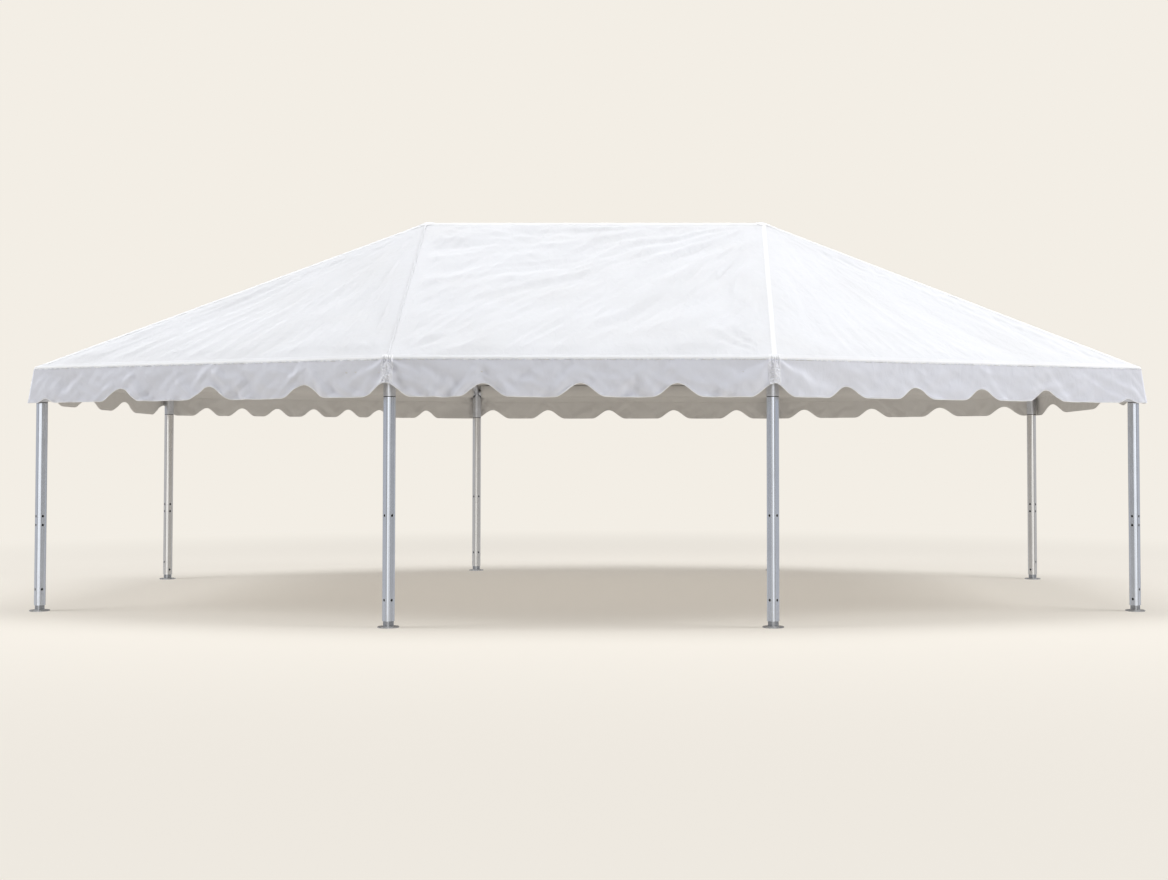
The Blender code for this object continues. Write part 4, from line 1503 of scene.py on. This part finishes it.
def area_light(name, floor):
    place, target, size, power, floor_only = LIGHTS[name]
    data = bpy.data.lights.new(name, "AREA")
    data.shape = "RECTANGLE"
    data.size, data.size_y = size
    data.energy = power
    light = bpy.data.objects.new(name, data)
    light.location = place
    light.rotation_euler = (Vector(target) - Vector(place)).to_track_quat("-Z", "Y").to_euler()
    light.visible_camera = False
    light.visible_glossy = False
    bpy.context.scene.collection.objects.link(light)
    lit = bpy.data.collections.new(name + "_lit")
    lit.objects.link(floor)
    lit.collection_objects[0].light_linking.link_state = "INCLUDE" if floor_only else "EXCLUDE"
    light.light_linking.receiver_collection = lit


BACKGROUND = (0.896, 0.855, 0.785)
# What polished surfaces see, from straight ahead of the tent's front round to behind it
MIRRORED = (
    (0.00, (0.98, 0.99, 1.00)),
    (0.22, (0.98, 0.99, 1.00)),
    (0.32, (0.30, 0.29, 0.275)),
    (0.40, (0.235, 0.23, 0.225)),
    (0.50, (0.32, 0.335, 0.37)),
    (0.62, (0.43, 0.445, 0.485)),
    (0.72, (0.34, 0.34, 0.35)),
    (0.85, (0.15, 0.14, 0.135)),
    (1.00, (0.20, 0.19, 0.18)),
)
ABOVE = (0.64, 0.63, 0.61, 1)
MIRROR_STRENGTH = 1.4
BELOW = (0.47, 0.455, 0.43, 1)
SKY_LOW = (0.096, 0.096, 0.1, 1)
SKY_HIGH = (0.272, 0.276, 0.284, 1)
# Heights, as parts of a view direction, between which the mirrored surroundings change
FLOOR_TO_BANDS = (-0.34, 0.05)
BANDS_TO_ABOVE = (0.2, 0.45)

# The floor: how far it runs, its colour, the glow that lightens its shadows, and where it fades out
FLOOR_REACH = 150
FLOOR_COLOUR = (0.62, 0.60, 0.555, 1)
FLOOR_GLOW = (0.485, 0.445, 0.395, 1)
GLOW_STRENGTH = 0.70
FLOOR_FADE = (5.0, 14.0)


def make_world():
    """Even backdrop for the camera, soft light from above, and bands for polished metal to mirror."""
    world = bpy.data.worlds.new("studio")
    bpy.context.scene.world = world
    world.use_nodes = True
    tree = world.node_tree
    tree.nodes.clear()
    way = node(tree, "ShaderNodeTexCoord").outputs["Generated"]
    x, y, z = (level_of(tree, way, axis) for axis in range(3))
    sky = mix_colours(tree, ranged(tree, z, -1.0, 1.0), SKY_LOW, SKY_HIGH)
    angle = math_node(tree, "ARCTAN2", x, math_node(tree, "MULTIPLY", y, -1.0))
    share = math_node(tree, "DIVIDE", math_node(tree, "ABSOLUTE", angle), math.pi)
    bands = node(tree, "ShaderNodeValToRGB", {"Fac": share})
    stops = bands.color_ramp.elements
    while len(stops) < len(MIRRORED):
        stops.new(0.5)
    for stop, (position, colour) in zip(stops, MIRRORED):
        stop.position = position
        stop.color = opaque(colour)
    around = mix_colours(tree, ranged(tree, z, *BANDS_TO_ABOVE), bands.outputs["Color"], ABOVE)
    around = mix_colours(tree, ranged(tree, z, *FLOOR_TO_BANDS), BELOW, around)
    path = node(tree, "ShaderNodeLightPath").outputs
    lit = node(tree, "ShaderNodeBackground", {"Color": sky}).outputs[0]
    mirrored = node(tree, "ShaderNodeBackground", {"Color": around, "Strength": MIRROR_STRENGTH}).outputs[0]
    seen = node(tree, "ShaderNodeBackground", {"Color": opaque(BACKGROUND)}).outputs[0]
    some = node(tree, "ShaderNodeMixShader", {0: path["Is Glossy Ray"], 1: lit, 2: mirrored}).outputs[0]
    total = node(tree, "ShaderNodeMixShader", {0: path["Is Camera Ray"], 1: some, 2: seen}).outputs[0]
    node(tree, "ShaderNodeOutputWorld", {"Surface": total})


def make_floor():
    """Pale floor that runs out into the backdrop."""
    corners = [(x * FLOOR_REACH, y * FLOOR_REACH, 0) for x, y in ((-1, -1), (1, -1), (1, 1), (-1, 1))]
    floor = link("studio_floor", corners, [(0, 1, 2, 3)])
    material, tree, shader, place = new_material("studio_floor")
    finish = {
        "Base Color": FLOOR_COLOUR,
        "Roughness": 1.0,
        "Specular IOR Level": 0.0,
        "Emission Color": FLOOR_GLOW,
        "Emission Strength": GLOW_STRENGTH,
    }
    feed(tree, shader, finish)
    seen = node(tree, "ShaderNodeLightPath").outputs["Is Camera Ray"]
    strength = ranged(tree, seen, 0.0, 1.0, 0.5, 1.0)
    glow = node(tree, "ShaderNodeEmission", {"Color": opaque(BACKGROUND), "Strength": strength})
    far = node(tree, "ShaderNodeVectorMath", {0: place}, operation="LENGTH").outputs["Value"]
    fade = ranged(tree, far, *FLOOR_FADE, interpolation_type="SMOOTHSTEP")
    blend = node(tree, "ShaderNodeMixShader", {0: fade, 1: shader.outputs[0], 2: glow.outputs[0]})
    feed(tree, tree.nodes["Material Output"], {"Surface": blend.outputs[0]})
    floor.data.materials.append(material)
    floor.visible_glossy = False
    return floor


def make_studio():
    bpy.context.scene.view_settings.view_transform = "Standard"
    make_world()
    floor = make_floor()
    for name in LIGHTS:
        area_light(name, floor)


OUTER_WHITE = (0.76, 0.77, 0.80)
# Inner face darker and warmer than the outer: painted shade of the tent's inside
INNER_PAINTED_SHADE = (0.70, 0.69, 0.68)
# Each section's cloth a little darker or lighter: painted light and shade, darker on the left end and lighter
# on the right end
SECTION_PAINTED_LIGHT = {"left_end": 0.97, "middle": 1.0, "right_end": 1.02}
# Cooler white of the hanging valances than of the roof: painted light on the upright cloth
VALANCE_PAINTED_LIGHT_TINT = (0.98, 0.99, 1.045)
ROOF_CRINKLES = 0.27
THREAD_WHITE = (0.84, 0.84, 0.86)
# Darker grey of the flaps behind the end corners: painted shade
FLAP_PAINTED_SHADE = (0.58, 0.59, 0.63)
# Whiter doubled cloth: partly a painted highlight, on the lit bands and along the eave fold
DOUBLED_WHITE_PAINTED_HIGHLIGHT = (0.86, 0.865, 0.885)
HEM_WHITE = (0.90, 0.90, 0.92)
# Leg aluminium tinted cool for the front legs and warm for the back ones: painted reflections of the open
# studio and of the cloth under the canopy
LEG_METAL_COOL_PAINTED_REFLECTION = (0.79, 0.825, 0.89)
BACK_LEG_WARM_PAINTED_REFLECTION = (0.84, 0.82, 0.79)
JOINT_METAL = (0.74, 0.75, 0.78)
# Dark feet: plated metal, partly painted contact shade round the plates
FOOT_METAL_PAINTED_SHADE = (0.42, 0.43, 0.45)
TUBE_METAL = (0.76, 0.77, 0.80)

# Sizes that the small parts are grown with
STITCH_SIZES = {"Pitch": 0.012, "Stitch": 0.0088, "Thickness": 0.0009}
BOLT_SIZES = {"Size": 0.0075}
RIM_SIZES = {"Radius": 0.0120, "Thickness": 0.0012}
SHADE_PLUG_SIZES = {"Radius": 0.0072, "Depth": 0.005, "Flange": 0.0108, "Lip": 0.0009}
BEAD_SIZES = {"Step": 0.004, "Thickness": 0.0024}

# Where the bands start over the eave and stop short of the ridge ends, and their rows
HIP_BAND_START = 0.020
HIP_BAND_SHORT = 0.03
RIDGE_BAND_SHORT = 0.02
HIP_BAND_ROWS = 170
RIDGE_BAND_ROWS = 150


def ride_root(piece):
    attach(piece, "root")


def dress(piece, outer, inner, thickness=CLOTH_THICKNESS):
    """Finish a sheet with its two faces and its thickness, and let it ride."""
    turn_out(piece)
    for finish in (outer, inner):
        piece.data.materials.append(finish)
    thicken(piece, thickness)
    ride_root(piece)


def hip_band(corner):
    start = hip_point(corner, HIP_BAND_START)
    end = ridge_end(corner) + unit(eave_corner(corner) - ridge_end(corner)) * HIP_BAND_SHORT
    sides = ((corner - 1) % 8, corner)
    intos = [into_facet(side, corner) for side in sides]
    name = "hip_band_" + CORNER_NAMES[corner]
    return seam_band(name, start, end, sides, intos, HIP_BANDS[corner], HIP_BAND_ROWS, 300 + corner)


def ridge_band():
    start, end = ridge_end(0), ridge_end(3)
    short = unit(end - start) * RIDGE_BAND_SHORT
    intos = [-LINES[5].up, -LINES[1].up]
    return seam_band(
        "ridge_band", start + short, end - short, (5, 1), intos, RIDGE_BAND, RIDGE_BAND_ROWS, 320
    )


def section_of(corner):
    """End section that a corner's hip belongs to."""
    return "left_end" if CORNERS[corner][0] < 0 else "right_end"


def make_trims(outers, highlight_band_cloth, inner):
    """Bands and patches over the seams, by the section that they lie on, and their rows of stitches."""
    trims = {section: [] for section in SECTION_SIDES}
    seams = []
    for corner in range(8):
        band, lines = hip_band(corner)
        section = section_of(corner)
        dress(band, outers[section] if corner in BANDS_WITHOUT_HIGHLIGHT else highlight_band_cloth, inner, BAND_THICKNESS)
        seams += lines
        trims[section].append(band)
    band, lines = ridge_band()
    dress(band, highlight_band_cloth, inner, BAND_THICKNESS)
    seams += lines
    trims["middle"].append(band)
    for sign, label in ((-1, "left"), (1, "right")):
        patch, line = crown_patch("crown_patch_" + label, sign)
        dress(patch, highlight_band_cloth, inner, BAND_THICKNESS)
        seams.append(line)
        trims[label + "_end"].append(patch)
    return trims, seams


def make_canopy():
    """Roof sections, valances, bands, gathers and their stitches."""
    inner = coated_cloth("cloth_inside_painted_shade", INNER_PAINTED_SHADE, 0.93)
    highlight_band_cloth = coated_cloth("cloth_doubled_painted_highlight", DOUBLED_WHITE_PAINTED_HIGHLIGHT, 0.97, grime=0.08)
    shaded_flap_cloth = coated_cloth("cloth_flap_painted_shade", FLAP_PAINTED_SHADE)
    thread = sewing_thread("sewing_thread", THREAD_WHITE)
    stitches = shape_tree("row_of_stitches", STITCH_SIZES, stitch_shape)
    outers, skirts = {}, {}
    # The section's share darkens or lightens its cloth: painted light and shade
    for section, shade in SECTION_PAINTED_LIGHT.items():
        colour = [c * shade for c in OUTER_WHITE]
        wall_painted_light = [c * tint for c, tint in zip(colour, VALANCE_PAINTED_LIGHT_TINT)]
        outers[section] = coated_cloth("cloth_" + section, colour, crinkles=ROOF_CRINKLES)
        skirts[section] = coated_cloth("cloth_valance_" + section, wall_painted_light, roof_colour=colour)
    trims, band_seams = make_trims(outers, highlight_band_cloth, inner)
    hem_seams, eave_seams = [], []
    gathers, valances = {}, {}
    for corner in MID_CORNERS:
        gathers[corner], lines = gather(corner)
        hem_seams += lines
    for section, sides in SECTION_SIDES.items():
        roof = roof_section("roof_" + section, sides)
        dress(roof, outers[section], inner)
        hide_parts("canopy_" + section)
        for side in sides:
            valances[side], hem_seam, eave_lines = hang_valance(side)
            dress(valances[side], skirts[section], inner)
            hem_seams.append(hem_seam)
            eave_seams += eave_lines
        for corner, strip in gathers.items():
            if section == section_of(corner):
                dress(strip, skirts[section], inner)
                trims[section].append(strip)
    for corner in FLAP_CORNERS:
        tab = corner_tab(corner)
        dress(tab, shaded_flap_cloth, inner)
    for side in range(8):
        pocket, length = rail_pocket(side)
        dress(pocket, inner, inner)
    for part, lines in (("hem", hem_seams), ("eave", eave_seams), ("bands", band_seams)):
        name = "stitches_" + part
        ride_root(grow(name, line_carrier(name, lines), stitches, thread))


def make_fasteners(joint, leg):
    """Bolts under the sockets, rims and dark plugs that stand for the shade at the pin holes, seals, and
    welds round the feet.
    """
    bolts = shape_tree("set_bolts", BOLT_SIZES, bolt_shape)
    rims = shape_tree("pin_rims", RIM_SIZES, rim_shape)
    # Dark plugs that stand for the shade inside the pin holes
    shade_plugs = shape_tree("pin_hole_shade_plugs", SHADE_PLUG_SIZES, shade_plug_shape)
    beads = shape_tree("weld_beads", BEAD_SIZES, bead_shape)
    rubber = black_rubber()
    for name, places, tree, finish, slot, smooth in (
        ("socket_bolts", sleeve_bolts(), bolts, joint, "fitting_metal", False),
        ("pin_hole_rims", pin_places(), rims, leg, "leg_metal", True),
        ("pin_hole_shade_plugs", pin_places(), shade_plugs, rubber, "leg_metal", False),
    ):
        ride_root(grow(name, point_carrier(name, places), tree, finish, smooth))
    seals = joint_seals()
    seals.data.materials.append(rubber)
    ride_root(seals)
    ride_root(grow("foot_welds", line_carrier("foot_welds", foot_beads()), beads, joint))


def long_way(item):
    """Direction in which a tube is longest."""
    points = np.array([vertex.co[:] for vertex in item.data.vertices])
    spread = np.linalg.svd(points - points.mean(axis=0), full_matrices=False)[2][0]
    return tuple(float(c) for c in spread)


def finish_frame():
    """Give every tube, joint and foot its own metal."""
    hem_height = EAVE_HEIGHT - VALANCE_DEPTH
    leg = drawn_metal("drawn_leg", LEG_METAL_COOL_PAINTED_REFLECTION, (0, 0, 1), 0.25)
    # The back legs carry painted shade above the hem's height
    back_leg = drawn_metal("drawn_back_leg_painted_shade", BACK_LEG_WARM_PAINTED_REFLECTION, (0, 0, 1), 0.27, painted_shade_above=hem_height)
    joint = cast_metal("cast_joint", JOINT_METAL, 0.42)
    # Dark plated feet, partly painted contact shade
    foot = cast_metal("plated_foot_painted_shade", FOOT_METAL_PAINTED_SHADE, 0.26, 300.0, 0.12)
    for name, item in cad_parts.items():
        if name.startswith("canopy"):
            continue
        if name.startswith("leg"):
            finish = back_leg if "back" in name else leg
        elif "fitting" in name:
            finish = joint
        elif name.startswith("foot"):
            finish = foot
        else:
            finish = drawn_metal("drawn_" + name, TUBE_METAL, long_way(item), 0.34)
        for slot in item.material_slots:
            slot.material = finish
    return joint, leg


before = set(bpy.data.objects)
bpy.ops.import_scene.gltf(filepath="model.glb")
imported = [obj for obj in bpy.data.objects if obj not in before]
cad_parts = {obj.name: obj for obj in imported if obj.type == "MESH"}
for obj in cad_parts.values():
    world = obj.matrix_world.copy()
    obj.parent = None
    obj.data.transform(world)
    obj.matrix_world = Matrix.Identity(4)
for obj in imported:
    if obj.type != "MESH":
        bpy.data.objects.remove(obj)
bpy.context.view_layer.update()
make_camera()
make_studio()
GROUPS.update(
    {
        "woven_scrim": make_scrim(),
        "packing_crinkles": make_crinkle(),
        "faint_grime": make_soil(),
        "drawn_lines": make_drawn_lines(),
        "rubbed_edges": make_edge_rub(),
        "settled_dust": make_settled_dust(),
    }
)
joint_finish, leg_finish = finish_frame()
make_canopy()
make_fasteners(joint_finish, leg_finish)
